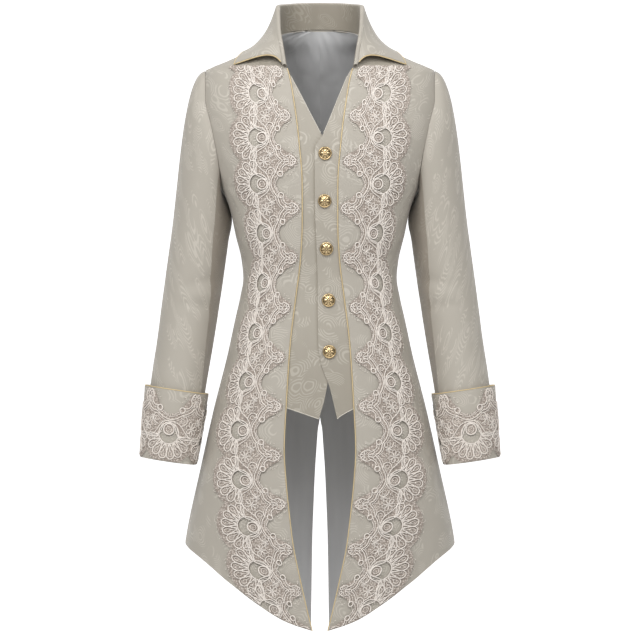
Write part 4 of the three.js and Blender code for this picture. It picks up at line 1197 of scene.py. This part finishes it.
# Net ground: a fine grid on the cloth without the cells outside the outline and in the openings.
def laceNet(name, surface, xs, ys, keepCell, mirror, nodes):
    points, _ = surface(*np.meshgrid(xs, ys))
    bm = bmesh.new()
    bmesh.ops.create_grid(bm, x_segments=len(xs) - 1, y_segments=len(ys) - 1, size=1)
    uvLayer = bm.loops.layers.uv.new("cloth")
    spots = {}
    for v in bm.verts:
        i, j = gridSpot(v, len(ys), len(xs))
        v.co = inMetres(points[i, j], mirror)
        spots[v.index] = (xs[j] * mm, ys[i] * mm)
    gone = []
    for face in bm.faces:
        face.smooth = True
        u = v = 0.0
        for loop in face.loops:
            spot = spots[loop.vert.index]
            loop[uvLayer].uv = spot
            u += spot[0] / 4
            v += spot[1] / 4
        if not keepCell(u / mm, v / mm):
            gone.append(face)
    bmesh.ops.delete(bm, geom=gone, context="FACES")
    bmesh.ops.recalc_face_normals(bm, faces=bm.faces[:])
    return makePiece(bm, name, netMaterial, "lace", *nodes)


# Whether a spot of the repeat lies on the net; y runs from the middle of a ring, both ways.
def insideMotif(x, y, pitch):
    shell = math.hypot(x - laceLook["shellX"], y - laceLook["shellY"])
    if shell < laceLook["shell"] - 1 and math.hypot(x, y) > 9.0:
        return False
    if shell < 51 and x < 2:
        return True
    away = abs(y) / (pitch / 2)
    inner = np.interp(away, (0, 0.25, 0.45, 0.58, 0.72, 0.86, 1.0), (23, 25, 36, 42, 52, 58.5, 60.5))
    return -18 < x < inner


def keepOnFront(distance, down):
    z = -down
    if z < -980 or z > -34 or distance < 1.2 or distance > float(frontHem(z)) - 2.5:
        return False
    k = int(np.argmin([abs(m - z) for m in motifZ]))
    eye, reach, lobe = (float(readTable(laceMotifs, column, z)) for column in ("eye", "reach", "lobe"))
    if distance > eye:
        x = laceLook["petalTip"] * (distance - eye) / (reach - eye)
    else:
        x = laceLook["lobeTip"] * (eye - distance) / (eye - lobe)
    below = motifZ[k + 1] if k + 1 < len(motifZ) else motifZ[k] - 72.0
    pitch = motifZ[k] - below if z < motifZ[k] or k == 0 else motifZ[k - 1] - motifZ[k]
    return insideMotif(x, motifZ[k] - z, pitch)


netX = np.linspace(1.2, 140, 72)
netY = np.linspace(34, 980, 470)
frontTubes = frontLaceTubes()
print("cords and dots on a front:", len(frontTubes))
for side, mirror in sides:
    net = laceNet(f"{side}LaceNet", lambda d, down: onFront(d, -down, laceLook["lift"] - 0.5), netX, netY,
                  keepOnFront, mirror, [f"lace_front_{side}"])
    cordObject(f"{side}LaceCords", frontTubes, laceMaterial, "lace", mirror=mirror)
print("front lace done")

# Lace on the cuffs: the same strip turned, with its rings in the middle of the front, the back and the sides
cuffLace = {"eyeUp": 54.0, "shift": 6.0, "upper": 1.16, "lift": 1.3}
cuffStart = int(np.argmin(cuffRing(0.5)[:, 1]))


def cuffTable():
    rows = []
    for share in np.linspace(0, 1, 30):
        ring = np.roll(cuffRing(share, 0.0), -cuffStart, axis=0)
        rows.append(np.concatenate([ring, ring[:1]]))
    return np.array(rows)


cuffRows = cuffTable()
cuffRound = lengths(cuffRows[15:16], 1)[0]
cuffGirth = cuffRound[-1]
cuffNormals = -gridNormals(cuffRows[:, :-1], True)
if cuffNormals[15, 0, 1] > 0:
    cuffNormals = -cuffNormals
cuffNormals = np.concatenate([cuffNormals, cuffNormals[:, :1]], axis=1)


# Points of the cuff by the way round from its front middle and the height above its lower edge.
def onCuff(around, up, lift):
    around, up = np.broadcast_arrays(np.asarray(around, float), np.asarray(up, float))
    a = np.mod(around, cuffGirth)
    row = np.clip((1 - up / cuffHeight) * 29, 0, 28.999)
    i = row.astype(int)
    part = (row - i)[..., None]
    j = np.clip(np.searchsorted(cuffRound, a) - 1, 0, len(cuffRound) - 2)
    t = ((a - cuffRound[j]) / (cuffRound[j + 1] - cuffRound[j]))[..., None]

    def blend(table):
        upper = table[i, j] * (1 - t) + table[i, j + 1] * t
        lower = table[i + 1, j] * (1 - t) + table[i + 1, j + 1] * t
        return upper * (1 - part) + lower * part

    normal = blend(cuffNormals)
    normal = normal / np.linalg.norm(normal, axis=-1, keepdims=True)
    return blend(cuffRows) + normal * lift, normal


cuffPitch = cuffGirth / 4


def heightOnCuff(x):
    return cuffLace["eyeUp"] + np.where(x > 0, x * cuffLace["upper"], x)


cuffTubes = []
for k in range(4):
    start = k * cuffPitch + cuffLace["shift"]
    for path, radius, closed in motifCords(cuffPitch):
        around, up = path[:, 1] + start, heightOnCuff(path[:, 0])
        for run, ring in keepRuns((up > 1.5) & (up < 119), closed):
            points, normals = onCuff(around[run], up[run], cuffLace["lift"] + radius * 0.5)
            cuffTubes.append(tubePoints(points, normals, radius, 0.75, closed=ring))
    for x, y, radius in motifDots(cuffPitch):
        up = float(heightOnCuff(x))
        if 2 < up < 118:
            cuffTubes.append(dotTube(onCuff, y + start, up, radius, cuffLace["lift"] + 0.4))


def keepOnCuff(around, up):
    y = (around - cuffLace["shift"] + cuffPitch / 2) % cuffPitch - cuffPitch / 2
    x = up - cuffLace["eyeUp"]
    return 1.2 < up < 119 and insideMotif(x / cuffLace["upper"] if x > 0 else x, y, cuffPitch)


for side, mirror in sides:
    net = laceNet(f"{side}CuffNet", lambda a, up: onCuff(a, up, 1.0), np.linspace(0, cuffGirth, 170),
                  np.linspace(1.2, 119, 62), keepOnCuff, mirror,
                  [f"cuff_lace_front_{side}", f"cuff_lace_back_{side}"])
    cordObject(f"{side}CuffCords", cuffTubes, laceMaterial, "lace", mirror=mirror)
print("cuff lace done")


# Studio
def stagePlane(name, width, depth, place, turn, material):
    bm = bmesh.new()
    bmesh.ops.create_grid(bm, x_segments=1, y_segments=1, size=1)
    mesh = bpy.data.meshes.new(name)
    bm.to_mesh(mesh)
    bm.free()
    mesh.materials.append(material)
    piece = bpy.data.objects.new(name, mesh)
    piece.scale = (width / 2, depth / 2, 1)
    piece.location = place
    piece.rotation_euler = turn
    bpy.context.scene.collection.objects.link(piece)
    return piece


floorMaterial = plainMaterial("paleFloor", (0.93, 0.93, 0.93), 0.9, grain=3, spread=0.01)
wallMaterial = plainMaterial("paleWall", (0.93, 0.93, 0.93), 0.9, grain=3, spread=0.01)
wallShader = wallMaterial.node_tree.nodes["Principled BSDF"]
wallShader.inputs["Emission Color"].default_value = (1, 1, 1, 1)
wallShader.inputs["Emission Strength"].default_value = 0.7
# the wall stands far enough back to leave the coat in sight from behind
stagePlane("floor", 40, 40, (0, 0, -1.75), (0, 0, 0), floorMaterial)
stagePlane("wall", 39, 22, (0, 9.2, 2.8), (math.pi / 2, 0, 0), wallMaterial)

world = bpy.data.worlds.new("studio")
bpy.context.scene.world = world
world.use_nodes = True
world.node_tree.nodes["Background"].inputs[0].default_value = (1, 1, 1, 1)
world.node_tree.nodes["Background"].inputs[1].default_value = 0.36

lamps = [
    {"name": "key", "place": (-1.5, -2.5, 2.3), "size": 1.4, "power": 70},
    {"name": "fill", "place": (1.3, -1.9, 2.0), "size": 1.3, "power": 28},
    {"name": "front", "place": (0.1, -1.9, 0.9), "size": 1.2, "power": 12},
]
for lamp in lamps:
    data = bpy.data.lights.new(lamp["name"], "AREA")
    data.size = lamp["size"]
    data.energy = lamp["power"]
    light = bpy.data.objects.new(lamp["name"], data)
    light.location = lamp["place"]
    light.rotation_euler = (Vector((0, 0, -0.5)) - light.location).to_track_quat("-Z", "Y").to_euler()
    bpy.context.scene.collection.objects.link(light)

view = {"away": 7.0, "height": -0.462, "width": 1.088}  # the picture's width is measured at the coat
cameraData = bpy.data.cameras.new("camera")
cameraData.sensor_width = 36
cameraData.lens = 36 * view["away"] / view["width"]
camera = bpy.data.objects.new("camera", cameraData)
camera.location = (0, -view["away"], view["height"])
camera.rotation_euler = (math.pi / 2, 0, 0)
bpy.context.scene.collection.objects.link(camera)
bpy.context.scene.camera = camera
bpy.context.scene.view_settings.view_transform = "Standard"
